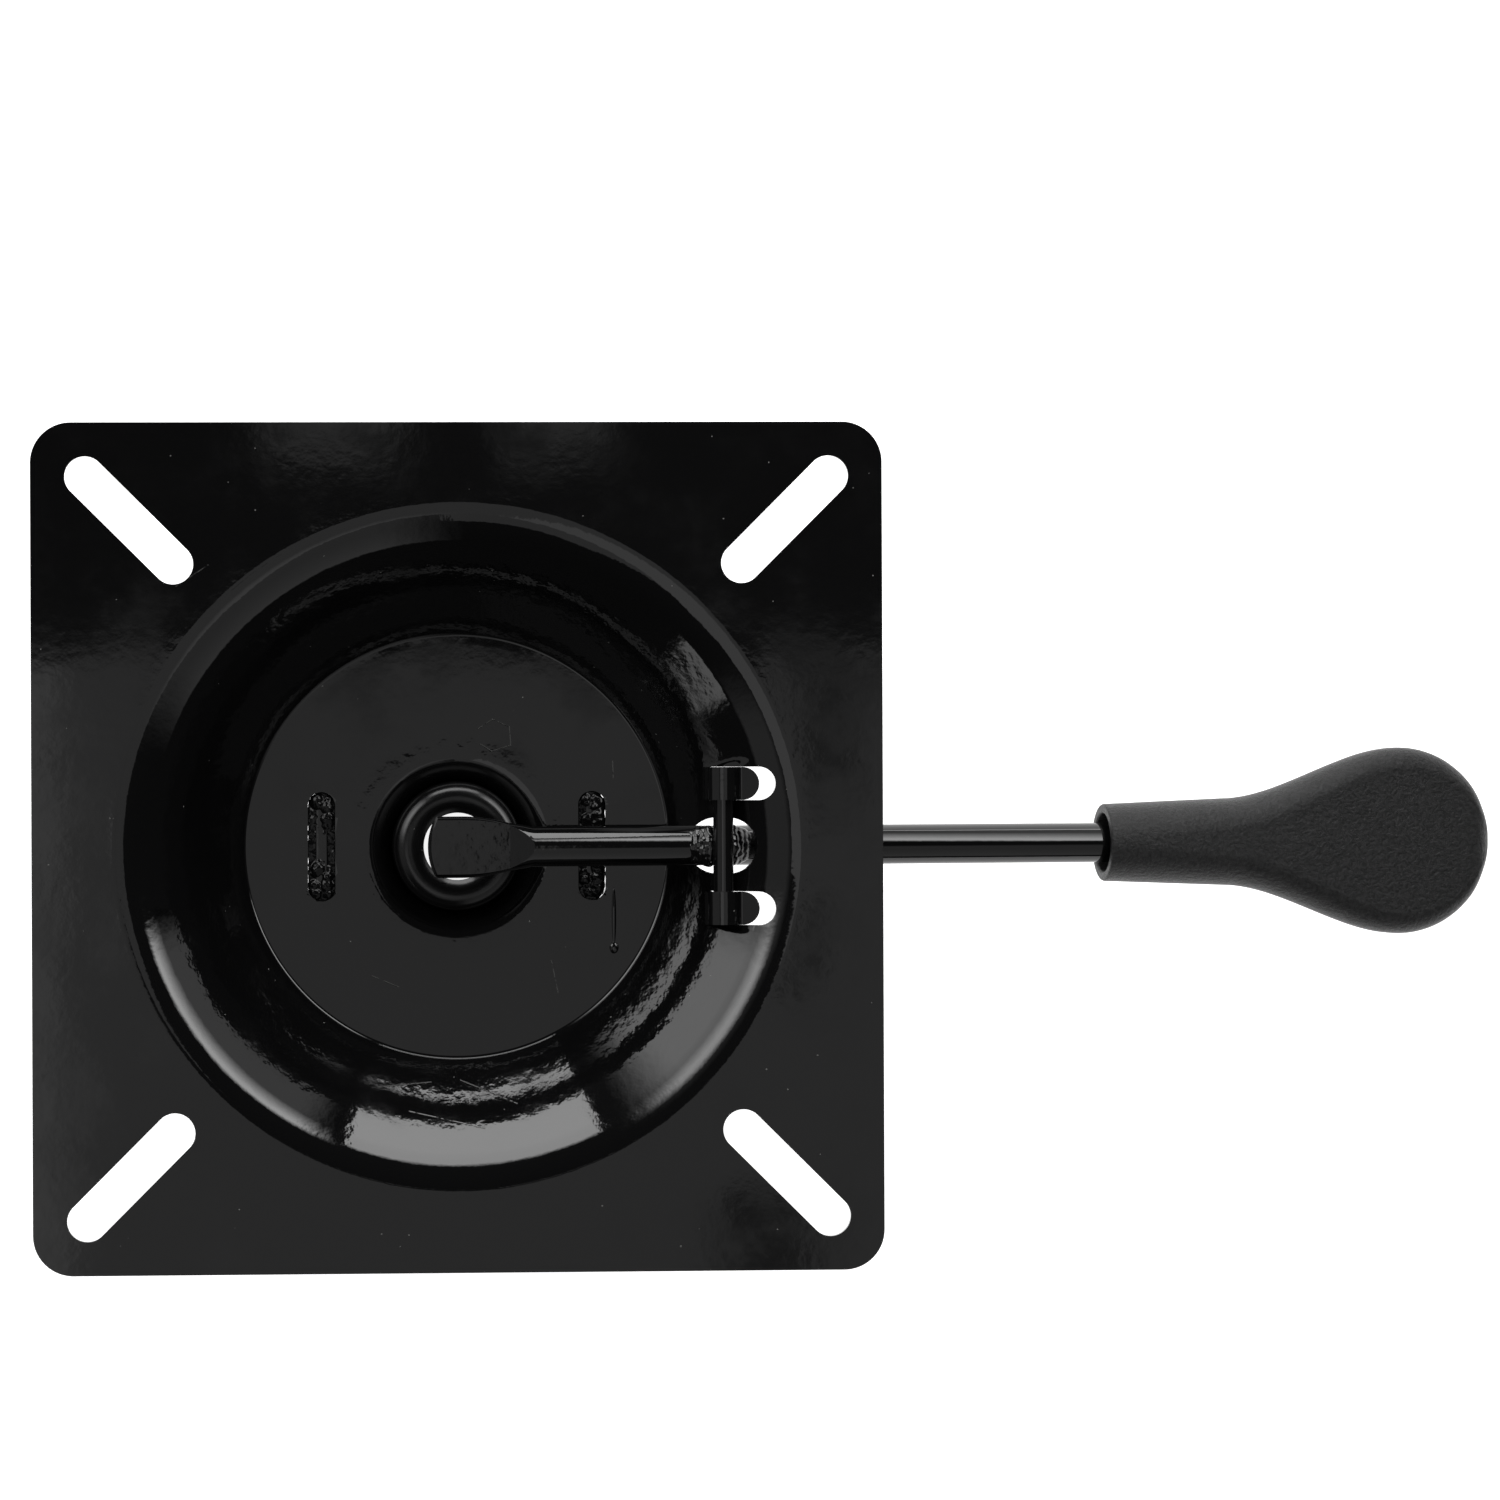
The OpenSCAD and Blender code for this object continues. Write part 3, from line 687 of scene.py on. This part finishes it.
def plug_weld(name, side):
    """High lumps at both ends of a slot, lower ones towards its middle, and the body that fills it."""
    deselect()
    balls = []
    for end in (-1, 1):
        for step in range(PLUG_STEPS):
            high = step < PLUG_STEPS - PLUG_LOW_STEPS
            y = end * (TAB_SLOT_L / 2 - PLUG_START - step * PLUG_STEP)
            spread = 1.3 if high else 0.8
            for lane in (-1, 1):
                x = side * LEG_X + lane * spread + random.uniform(-0.4, 0.4)
                size = random.uniform(1.2, 1.9) if high else 1.0
                top = TAB_WELD_RISE * random.uniform(-0.8, 0.6) if high else -0.4
                balls.append(ball(x, y, FLOOR_Z + top - size * PLUG_FLAT, size, PLUG_FLAT))
    fill = oblong(TAB_SLOT_L - FILL_CLEAR, TAB_SLOT_W - FILL_CLEAR, FLOOR_Z - FILL_FOOT,
                  FLOOR_Z - FILL_TOP, (side * LEG_X, 0), math.pi / 2)
    obj = melt_balls(name, balls + [fill], PLUG_VOXEL, 2)
    return crinkle(obj, 1.5, 0.6)


left_plug = plug_weld("left_plug_weld", -1)
right_plug = plug_weld("right_plug_weld", 1)
report(left_plug)
report(right_plug)

# %% [markdown]
# ## Lever bar
# The lever is a round bar. Its inner end was pressed flat into a paddle that pushes the spring's button.
# Pressing widens the bar and leaves two flats with slopes that run out in a curve. So the bar is
# extruded ring by ring, only widened, and a wedge then cuts each flat, as the press tool did.

# %% Lever bar
BAR_RING, ROD_STEPS, SLOPE_STEPS, DRAW_STEPS = 96, 30, 6, 10
HEEL_SWELL = 0.8    # below 1, the bar widens fast at first and slowly towards the paddle
deselect()
bpy.ops.mesh.primitive_circle_add(
    vertices=BAR_RING, radius=ROD_R * MM, fill_type="NGON",
    location=(ROD_END * MM, 0, 0), rotation=ALONG_X)
bar = fix_place(bpy.context.object)
bar.name = bar.data.name = "lever_bar"
draw_in = (PADDLE_W - PADDLE_HEEL_W) / 2
side_r = (PADDLE_DRAW_L ** 2 + draw_in ** 2) / (2 * draw_in)
wide_x = FLAT_END - PADDLE_DRAW_L
rings = [(ROD_END - i * (ROD_END - SLOPE_END) / ROD_STEPS, ROD_R) for i in range(1, ROD_STEPS + 1)]
rings += [(SLOPE_END - i * PADDLE_SLOPE_L / SLOPE_STEPS,
           ROD_R + (PADDLE_HEEL_W / 2 - ROD_R) * (i / SLOPE_STEPS) ** HEEL_SWELL)
          for i in range(1, SLOPE_STEPS + 1)]
rings += [(x, PADDLE_W / 2 - side_r + math.sqrt(side_r ** 2 - (x - wide_x) ** 2))
          for x in (FLAT_END - PADDLE_DRAW_L * i / DRAW_STEPS for i in range(1, DRAW_STEPS + 1))]
rings += [(wide_x - i * 2, PADDLE_W / 2) for i in range(1, 6)]
edit(bar)
x_now, half_now = ROD_END, ROD_R
for x, half in rings:
    pull(x - x_now, 0, 0)
    bpy.ops.transform.resize(value=(1, half / half_now, 1), center_override=(x * MM, 0, 0))
    x_now, half_now = x, half
close_up(bar)
report(bar)

# %% Press the paddle flat and cut its end
WEDGE_START, WEDGE_SIDE, RUN_OUT = -90, 12, 3
wedge_top = ROD_R + (ROD_R - PADDLE_T / 2) / PADDLE_SLOPE_L * RUN_OUT
wedge_section = [(WEDGE_START, PADDLE_T / 2), (FLAT_END, PADDLE_T / 2), (SLOPE_END, ROD_R),
                 (SLOPE_END + RUN_OUT, wedge_top), (WEDGE_START, wedge_top)]
for up in (-1, 1):
    wedge = draw_line("wedge", [(x, -WEDGE_SIDE, up * z) for x, z in wedge_section], closed=True)
    edit(wedge)
    pull(0, 2 * WEDGE_SIDE, 0)
    boolean(bar, close_up(wedge))
END_PULL, END_TOOL_L = 300, 40    # the round tool for the paddle's end is pulled long over the bar
half_w = PADDLE_W / 2
end_r = (half_w ** 2 + PADDLE_END_ARC ** 2) / (2 * PADDLE_END_ARC)
deselect()
bpy.ops.mesh.primitive_cylinder_add(
    vertices=256, radius=end_r * MM, depth=END_TOOL_L * MM, location=((-INNER_REACH + end_r) * MM, 0, 0))
end_tool = bpy.context.object
edit(end_tool)
pick(end_tool, "verts", lambda v: v.co.x > 0)
bpy.ops.transform.translate(value=(END_PULL * MM, 0, 0))
boolean(bar, close_up(end_tool), "INTERSECT")
soften(bar, EDGE_SOFT, angle=24)
shade(bar, 30)
on_lever(bar)
report(bar)

# %% [markdown]
# ## Cross pin
# The lever turns on a plain round pin that lies under both tongues. It is a cylinder with broken edges.

# %% Cross pin
PIN_SOFT = 1.2    # the broken edge's width, in shares of the CAD model's chamfer
deselect()
bpy.ops.mesh.primitive_cylinder_add(
    vertices=64, radius=PIN_R * MM, depth=PIN_L * MM, rotation=(math.pi / 2, 0, 0),
    location=(PIVOT_X * MM, 0, PIVOT_Z * MM))
pin = fix_place(bpy.context.object)
pin.name = pin.data.name = "cross_pin"
edit(pin, "EDGE")
pick(pin, "edges", lambda e: abs(e.calc_face_angle()) > SHARP)
bevel_edges(PIN_CHAMFER * PIN_SOFT, 5, clamp=False)
shade(pin)
report(pin)

# %% [markdown]
# ## Welds between bar and pin
# A lump of weld on each side ties the pin to the top of the bar. The metal is piled up against the pin
# and flows out over the bar, in rows of pools that get lower. It is made as the plug welds are.


# %% Pin welds
BEAD_ROWS, BEAD_LANES, LANE_TURN, ROW_STEP, ROW_DROP = 4, 4, 10.5, 1.35, 0.5
BEAD_START, BEAD_LIFT, BEAD_R, BEAD_FADE, BEAD_VOXEL = 0.35, 0.4, 1.65, 0.12, 0.22


def pin_bead(name, side):
    """A lump on the top of the bar: each row is an arc of balls, lower and smaller than the last."""
    deselect()
    balls = []
    for row in range(BEAD_ROWS):
        for lane in range(-BEAD_LANES, BEAD_LANES + 1):
            a = math.radians(lane * LANE_TURN + random.uniform(-3, 3))
            size = BEAD_R - BEAD_FADE * row + random.uniform(-0.1, 0.1)
            r = ROD_R + BEAD_LIFT - ROW_DROP * row
            x = side * (PIN_R + BEAD_START + ROW_STEP * row + random.uniform(-0.2, 0.2))
            balls.append(ball(x, r * math.sin(a), r * math.cos(a), size))
    obj = melt_balls(name, balls, BEAD_VOXEL, 3)
    return on_lever(crinkle(obj, 2.1, 0.4))


inner_bead = pin_bead("inner_pin_bead", -1)
outer_bead = pin_bead("outer_pin_bead", 1)
report(inner_bead)
report(outer_bead)

# %% [markdown]
# ## Paddle knob
# The knob is moulded plastic: a round collar that widens into a flat, round head. Each ring is the round
# collar's ring with its four quarters moved apart, which gives a flat face with rounded edges.

# %% Paddle knob
QUARTER, NECK_STEPS, SWELL_STEPS = 12, 8, 26
TIP_RINGS, TIP_NEAR = (0.02, 0.01), 0.0005    # the last two rings end this short of the tip
stations = ([i * KNOB_NECK_L / NECK_STEPS for i in range(1, NECK_STEPS + 1)]
            + [KNOB_NECK_L + i * (HEAD_S - KNOB_NECK_L) / SWELL_STEPS for i in range(1, SWELL_STEPS + 1)]
            + [HEAD_S + HEAD_R * math.sin(math.radians(a)) for a in range(4, 88, 3)]
            + [KNOB_L - d for d in TIP_RINGS])
deselect()
bpy.ops.mesh.primitive_circle_add(
    vertices=4 * QUARTER, radius=COLLAR_D / 2 * MM, fill_type="NGON", rotation=ALONG_X)
knob = fix_place(bpy.context.object)
knob.name = knob.data.name = "paddle_knob"
edit(knob)
bpy.ops.transform.rotate(value=math.pi / QUARTER / 4, orient_axis="X", center_override=(0, 0, 0))
s_now, a_now, b_now, c_now = 0, COLLAR_D / 2, COLLAR_D / 2, COLLAR_D / 2
for s in stations:
    a, b, c = knob_half(s), knob_half_t(s), knob_edge_r(s)
    pull(s - s_now, 0, 0)
    ring_mesh = bmesh.from_edit_mesh(knob.data)
    for v in ring_mesh.verts:
        if v.select:
            side_y, side_z = math.copysign(1, v.co.y), math.copysign(1, v.co.z)
            round_y = v.co.y / MM - side_y * (a_now - c_now)
            round_z = v.co.z / MM - side_z * (b_now - c_now)
            v.co.y = (side_y * (a - c) + round_y * c / c_now) * MM
            v.co.z = (side_z * (b - c) + round_z * c / c_now) * MM
    bmesh.update_edit_mesh(knob.data)
    s_now, a_now, b_now, c_now = s, a, b, c
close_up(knob, TIP_NEAR)
report(knob)

# %% Hollow and bore of the knob
MOUTH_SOFT = 0.6
for radius, depth in ((HOLLOW_D / 2, HOLLOW_L), (ROD_R + KNOB_FIT, ROD_GRIP + 2 * KNOB_FIT)):
    deselect()
    bpy.ops.mesh.primitive_cylinder_add(
        vertices=72, radius=radius * MM, depth=2 * depth * MM, rotation=ALONG_X)
    boolean(knob, fix_place(bpy.context.object))
edit(knob, "EDGE")
pick(knob, "edges", lambda e: e.calc_face_angle() > SHARP and abs(middle(e).x) < NEAR)
bevel_edges(MOUTH_SOFT, 4)
shade(knob, 30)
knob.location = (OUTER_REACH * MM, 0, 0)
fix_place(knob)
on_lever(knob)
report(knob)

# %% [markdown]
# ## Shader maths in Python
# A finish is a net of nodes. This class wraps one socket of the net, so that a sum or product written in
# Python adds its Math nodes. Every other node comes from `add`, with its sockets and its settings.


# %% Sockets as values
class Wire:
    def __init__(self, tree, socket=None):
        self.tree, self.socket = tree, socket

    def add(self, kind, sockets=None, out=0, **settings):
        """A new node of this kind, as the wire that leaves its socket `out`."""
        node = self.tree.nodes.new("ShaderNode" + kind)
        for name, value in settings.items():
            setattr(node, name, value)
        for name, value in (sockets or {}).items():
            if isinstance(value, Wire):
                self.tree.links.new(value.socket, node.inputs[name])
            else:
                node.inputs[name].default_value = value
        return Wire(self.tree, node.outputs[out])

    def beside(self, out):
        """Another output of the node that this wire leaves."""
        return Wire(self.tree, self.socket.node.outputs[out])

    def end_in(self, kind):
        """Leads this wire to the net's output node."""
        node = self.tree.nodes.new("ShaderNode" + kind)
        self.tree.links.new(self.socket, node.inputs[0])

    def math(self, operation, *others):
        return self.add("Math", dict(enumerate((self, *others))), operation=operation)

    def __add__(self, other):
        return self.math("ADD", other)

    __radd__ = __add__

    def __sub__(self, other):
        return self.math("SUBTRACT", other)

    def __rsub__(self, other):
        return self.add("Math", {0: other, 1: self}, operation="SUBTRACT")

    def __mul__(self, other):
        return self.math("MULTIPLY", other)

    def __truediv__(self, other):
        return self.math("DIVIDE", other)

    def __gt__(self, other):
        return self.math("GREATER_THAN", other)

    def fade(self, low, high, start=0.0, end=1.0, easing="SMOOTHSTEP"):
        """Goes from start to end while the value goes from low to high, and stays there."""
        return self.add("MapRange", {0: self, 1: low, 2: high, 3: start, 4: end}, interpolation_type=easing)


# %% [markdown]
# ## Gloss black paint
# The paint is thick gloss black, sprayed on steel. It isn't a perfect mirror: it has the fine bumps of
# orange peel, slow waves where the sheet isn't flat, some dust in it, and handling scratches. All of
# this is worked out from the Object coordinates in millimetres, so it stays on the piece from all sides.
# The hub got a thinner, satin coat, and the plug welds, burnt and rough, are duller still.


# %% Paint
def new_net(owner):
    """Empties the nodes of a material or world, for a net of its own."""
    owner.use_nodes = True
    owner.node_tree.nodes.clear()
    return Wire(owner.node_tree)


def start_finish(name):
    """A new material, its net, and the place on the piece in millimetres."""
    material = bpy.data.materials.new(name)
    wire = new_net(material)
    place = wire.add("VectorMath", {0: wire.add("TexCoord", out=3), 3: 1 / MM}, operation="SCALE")
    return material, wire, place


def end_finish(wire, height, sockets):
    """The shader, with the bumps of a height in millimetres."""
    bump = wire.add("Bump", {"Strength": 1.0, "Distance": MM, "Height": height})
    wire.add("BsdfPrincipled", {**sockets, "Normal": bump}).end_in("OutputMaterial")


def noise(wire, place, size, detail=2, roughness=0.5):
    """Soft noise whose bumps are about this many millimetres wide, from 0 to 1."""
    return wire.add("TexNoise", {
        "Vector": place, "Scale": 1 / size, "Detail": detail, "Roughness": roughness})


def relief(wire, place, size, depth, *settings):
    """A height in millimetres, up and down round zero, from soft noise."""
    return (noise(wire, place, size, *settings) - 0.5) * depth


def between_colours(wire, mask, dark, light):
    """A colour between two others."""
    return wire.add("Mix", {0: mask, 6: (*dark, 1), 7: (*light, 1)}, out=2, data_type="RGBA")


def stroke(x, y, start, end, width):
    """A mask that is 1 on a straight stroke between two points of the plate, and fades over its width."""
    (x0, y0), (x1, y1) = start, end
    length = math.hypot(x1 - x0, y1 - y0)
    ux, uy = (x1 - x0) / length, (y1 - y0) / length
    dx, dy = x - x0, y - y0
    over = (dx * ux + dy * uy - length / 2).math("ABSOLUTE") - length / 2
    across = (dy * ux - dx * uy).math("ABSOLUTE")
    return across.math("MAXIMUM", over).fade(0, width, 1, 0)


BLACK, DUST_GREY = (0.0022, 0.0022, 0.0023), (0.12, 0.12, 0.115)
WAVE, PEEL, FINE_PEEL, FINE_SHARE = 30, 2.6, 0.7, 0.12    # widths in millimetres, and a share of the peel
DUST_CELL, DUST_PATCH, SMUDGE = 3.2, 5.5, 17
SCRATCH_W, SCRATCH_BREAKS, SCRATCH_DEPTH = 0.16, 1.3, 0.01
SCRATCHES = [
    ((5.2, 28.0), (8.6, 30.2)), ((8.6, 30.2), (12.6, 28.4)), ((12.6, 28.4), (12.9, 24.0)),
    ((12.9, 24.0), (8.4, 22.6)), ((8.4, 22.6), (5.2, 24.6)), ((37.2, 20.5), (37.4, 14.6)),
    ((-20.4, -30.8), (-14.0, -33.5)), ((22.4, -27.5), (24.0, -35.2)), ((-66.0, 61.5), (-58.5, 66.5)),
    ((-20.5, -57.0), (-6.5, -56.0)), ((-1.0, -55.0), (14.0, -61.0)), ((-12.0, -62.5), (6.0, -66.5)),
]


def on_wall(x, y):
    """A mask that is 1 on the dish's wall and close to the hub, and 0 on the floor and the flange."""
    radius = (x * x + y * y).math("SQRT")
    return (radius.fade(FLOOR_R - 2, FLOOR_R + 3) * radius.fade(RIM_R - 6, RIM_R + 4, 1, 0)
            + radius.fade(MOUTH_R + 2, MOUTH_R + 6, 1, 0))


def paint(name, peel, waves, dust, marks=(), flats=None, base_rough=0.035, ior=1.5):
    """Gloss paint. peel and waves: heights in millimetres. dust: from 0.5, much, to 0.7, hardly any.
    flats: the shares of waves and peel on the floor and flange, beside those of the wall."""
    material, wire, place = start_finish(name)
    x = wire.add("SeparateXYZ", {0: place})
    y = x.beside(1)
    waves_height = relief(wire, place, WAVE, waves, 1)
    peel_height = (relief(wire, place, PEEL, peel, 2, 0.45)
                   + relief(wire, place, FINE_PEEL, peel * FINE_SHARE, 1))
    if flats:
        wall = on_wall(x, y)
        waves_height = waves_height * wall.fade(0, 1, flats[0], 1, "LINEAR")
        peel_height = peel_height * wall.fade(0, 1, flats[1], 1, "LINEAR")
    height = waves_height + peel_height
    speck = wire.add("TexVoronoi", {"Vector": place, "Scale": 1 / DUST_CELL})
    specks = speck.fade(0.03, 0.075, 1, 0) * noise(wire, place, DUST_PATCH, 0).fade(dust, dust + 0.03)
    smudge = noise(wire, place, SMUDGE, 4, 0.62).fade(0.42, 0.75)
    rough = base_rough + smudge * 0.05 + specks * 0.3
    if marks:
        scratched = 0
        for start, end in marks:
            scratched = stroke(x, y, start, end, SCRATCH_W) + scratched
        scratched = scratched * noise(wire, place, SCRATCH_BREAKS, 1).fade(0.35, 0.55)
        rough = rough + scratched * 0.25
        height = height - scratched * SCRATCH_DEPTH
        specks = specks.math("MAXIMUM", scratched * 0.3)
    end_finish(wire, height, {
        "Base Color": between_colours(wire, specks, BLACK, DUST_GREY), "Roughness": rough, "IOR": ior})
    return material


plate_paint = paint("gloss_black_plate", 0.03, 0.16, 0.62, SCRATCHES, (0.22, 0.11))
bar_paint = paint("gloss_black_bar", 0.016, 0.02, 0.6)
hub_paint = paint("satin_black_hub", 0.03, 0.05, 0.62, base_rough=0.2, ior=1.42)
weld_paint = paint("gloss_black_weld", 0.02, 0.06, 0.66, base_rough=0.08)
plug_paint = paint("dull_black_plug", 0.02, 0.06, 0.66, base_rough=0.12, ior=1.29)
print("paints", [m.name for m in (plate_paint, bar_paint, hub_paint, weld_paint, plug_paint)])

# %% [markdown]
# ## Matt black plastic
# The knob is moulded in a spark-eroded tool, which leaves a fine, even grain and no gloss. The grain is
# in the height and, a little, in the tone. Wide, weak patches are where hands have rubbed it.

# %% Plastic
PLASTIC_DARK, PLASTIC_LIGHT = (0.0002, 0.0002, 0.0003), (0.0125, 0.0125, 0.0127)
GRAIN, COARSE_GRAIN, HANDLED = 0.9, 1.3, 26    # widths in millimetres
GRAIN_DEPTH, COARSE_DEPTH = 0.38, 0.14


def plastic(name):
    material, wire, place = start_finish(name)
    grain = noise(wire, place, GRAIN, 4, 0.7)
    coarse = noise(wire, place, COARSE_GRAIN, 2, 0.6)
    handled = noise(wire, place, HANDLED, 3, 0.6).fade(0.4, 0.7)
    height = (grain - 0.5) * GRAIN_DEPTH + (coarse - 0.5) * COARSE_DEPTH
    tone = grain.fade(0.42, 0.58) * 0.7 + coarse.fade(0.4, 0.6) * 0.2 + handled * 0.1
    end_finish(wire, height, {
        "Base Color": between_colours(wire, tone, PLASTIC_DARK, PLASTIC_LIGHT),
        "Roughness": 0.37 + coarse * 0.08 - handled * 0.05, "Specular IOR Level": 0.32})
    return material


knob_plastic = plastic("matt_black_plastic")
print("plastic", knob_plastic.name)

# %% [markdown]
# ## Each piece on its body
# The lever, its pin, the welds on it and the knob move together. All the rest is one welded assembly.
# Each piece takes the place of its CAD node, which is hidden and stays in the scene.

# %% Ride, replace, paint
PIECES = [
    (plate, "plate", "seat_plate", "black_paint", plate_paint),
    (socket, "plate", "gas_socket", "black_paint", hub_paint),
    (strap, "plate", "socket_bracket", "black_paint", bar_paint),
    (neck_bead, "plate", "neck_weld", "painted_weld", weld_paint),
    (foot_bead, "plate", "foot_weld", "painted_weld", weld_paint),
    (left_plug, "plate", "left_tab_weld", "painted_weld", plug_paint),
    (right_plug, "plate", "right_tab_weld", "painted_weld", plug_paint),
    (bar, "lever", "lever_rod", "black_paint", bar_paint),
    (pin, "lever", "pivot_pin", "black_paint", bar_paint),
    (inner_bead, "lever", "pin_weld_inner", "painted_weld", weld_paint),
    (outer_bead, "lever", "pin_weld_outer", "painted_weld", weld_paint),
    (knob, "lever", "lever_knob", "black_plastic", knob_plastic),
]
for piece, body, node, slot, material in PIECES:
    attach(piece, body)
    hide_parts(node)
    piece.data.materials.clear()
    piece.data.materials.append(material)
print(len(PIECES), "pieces")

# %% [markdown]
# ## Floor
# The plate stands on its socket on a white studio floor. The floor is a pale matt surface that catches
# the shadow. For the camera and for mirrors it also gives off a little light, so that it looks as white
# as in the photograph without more light on the object.

# %% Floor
FLOOR_SIDE, FLOOR_TONE, FLOOR_GLOW, WHITE = 14, 0.8, 0.9, (1, 1, 1, 1)
deselect()
bpy.ops.mesh.primitive_plane_add(size=FLOOR_SIDE, location=(0, 0, SOCKET_FOOT_Z * MM))
floor = bpy.context.object
floor.name = "studio_floor"
floor_finish = bpy.data.materials.new("white_floor")
wire = new_net(floor_finish)
path = wire.add("LightPath")
seen = path + path.beside("Is Glossy Ray") + path.beside("Is Transmission Ray")
matt = wire.add("BsdfDiffuse", {"Color": (FLOOR_TONE, FLOOR_TONE, FLOOR_TONE, 1)})
glow = wire.add("Emission", {"Color": WHITE, "Strength": seen.fade(0, 1, 0, FLOOR_GLOW)})
wire.add("AddShader", {0: matt, 1: glow}).end_in("OutputMaterial")
floor.data.materials.append(floor_finish)
print("floor at", round(SOCKET_FOOT_Z, 1))

# %% [markdown]
# ## Studio light
# Far lights are written into the world by compass direction and height above the floor, in degrees: two
# tall softboxes behind and to the left, a weak one in front to the right, and a pale wall on the left.
# Overhead is a large grey card with brighter and darker patches, whose places are slopes from the
# vertical. Gloss black paint shows nothing but these, so their edges matter. The camera sees white.

# %% Studio light
AMBIENT = 0.03
PALE_WALL = [(14, 0), (20, 0.3), (60, 0.3), (70, 0)]
BOXES = [    # from, to and softness in compass degrees, then stops of height and strength
    (67, 116, 0.3, [(0, 5.3), (34, 5.6), (40, 0)]),
    (128, 165, 8, [(0, 2.6), (14, 2.4), (25, 2.3), (44, 5.5), (50, 5), (60, 0.2), (70, 0)]),
    (-82, -26, 9, [(8, 0), (11, 0.5), (50, 0.36), (66, 0.36), (72, 0)]),
    (162, 190, 8, PALE_WALL), (-190, -150, 8, PALE_WALL),
]
CARD = [    # left, right, near and far edge, then strength
    (-0.38, 0.38, -0.42, 0.014, 0.44), (-0.38, -0.0385, -0.42, 0.0125, 0.4),
    (0.15, 0.38, 0.015, 0.11, 0.45), (-0.30, 0.04, -0.75, -0.422, 0.42),
    (-0.008, 0.011, 0.0425, 0.06, 0.45), (0.0275, 0.041, 0.0425, 0.06, 0.4),
]
DARK_PATCHES = [(0.0715, 0.0775, -0.01, 0.012), (0.0698, 0.0738, -0.037, -0.0225),
                (0.059, 0.0715, -0.08, -0.0665)]
DARKEN, PATCH_SOFT, OVERHEAD = 0.8, 0.0008, 0.1

world = bpy.data.worlds.new("studio")
bpy.context.scene.world = world
wire = new_net(world)
wx = wire.add("SeparateXYZ", {0: wire.add("TexCoord")})
wy, wz = wx.beside(1), wx.beside(2)
compass = wy.math("ARCTAN2", wx) * math.degrees(1)
above = wz.math("ARCSINE") * math.degrees(1)
slope_x, slope_y = wx / wz, wy / wz


def window(value, low, high, soft):
    """1 while the value is between low and high."""
    return value.fade(low - soft, low + soft) * value.fade(high - soft, high + soft, 1, 0)


def steps_of(value, stops):
    """A line through (value, strength) stops."""
    total = value * 0 + stops[0][1]
    for (x0, y0), (x1, y1) in zip(stops, stops[1:]):
        total = total + value.fade(x0, x1, 0, y1 - y0, "LINEAR")
    return total


def patch(left, right, low, high):
    """1 in a rectangle of the ceiling."""
    return window(slope_x, left, right, PATCH_SOFT) * window(slope_y, low, high, PATCH_SOFT)


studio = 0
for left, right, soft, stops in BOXES:
    studio = window(compass, left, right, soft) * steps_of(above, stops) + studio
card = 0
for *edges, strength in CARD:
    card = patch(*edges) * strength + card
for edges in DARK_PATCHES:
    card = card * (1 - patch(*edges) * DARKEN)
studio = studio + card * (wz > OVERHEAD) + AMBIENT
seen = wire.add("LightPath")
back = wire.add("Background", {"Color": WHITE, "Strength": studio * (1 - seen) + seen})
back.end_in("OutputWorld")
print("world nodes", len(wire.tree.nodes))

# %% [markdown]
# ## Near panels
# Two lights stand so near that the dish and the bar see them at different heights, so they are real
# upright panels. The large softbox is to the right and behind, and gets brighter towards its top. The
# small, weak one is low on the left and in front; it mirrors as a patch high on the dish's right wall.

# %% Near panels
BRIGHT_HALF = 0.33    # a panel is bright to this far from its middle, in widths, and then fades


def panel(name, turn, far, width, low, high, stops):
    """An upright light that faces the dish, in metres. Stops give its strength from foot to top."""
    turn = math.radians(turn)
    deselect()
    bpy.ops.mesh.primitive_plane_add(
        size=1, rotation=(math.pi / 2, 0, turn - math.pi / 2),
        location=(far * math.cos(turn), far * math.sin(turn), (low + high) / 2))
    obj = bpy.context.object
    obj.name = name
    obj.scale = (width, high - low, 1)
    obj.visible_camera = False
    light = bpy.data.materials.new(name + "_light")
    wire = new_net(light)
    aside = wire.add("SeparateXYZ", {0: wire.add("TexCoord", out=3)})
    height = aside.beside(1) + 0.5
    strength = aside.math("ABSOLUTE").fade(BRIGHT_HALF, 0.5, 1, 0) * steps_of(height, stops)
    wire.add("Emission", {"Color": WHITE, "Strength": strength}).end_in("OutputMaterial")
    obj.data.materials.append(light)
    print(name, "at", [round(c, 2) for c in obj.location])


panel("near_softbox", turn=37.5, far=0.36, width=0.37, low=0, high=0.49,
      stops=[(0, 0.75), (0.19, 0.8), (0.7, 7), (0.8, 7), (0.97, 1)])
panel("low_panel", turn=217, far=0.32, width=0.09, low=0.032, high=0.075,
      stops=[(0, 0.2), (0.15, 1.5), (1, 1.5)])

# %% Plain colours, then finish
bpy.context.scene.view_settings.view_transform = "Standard"
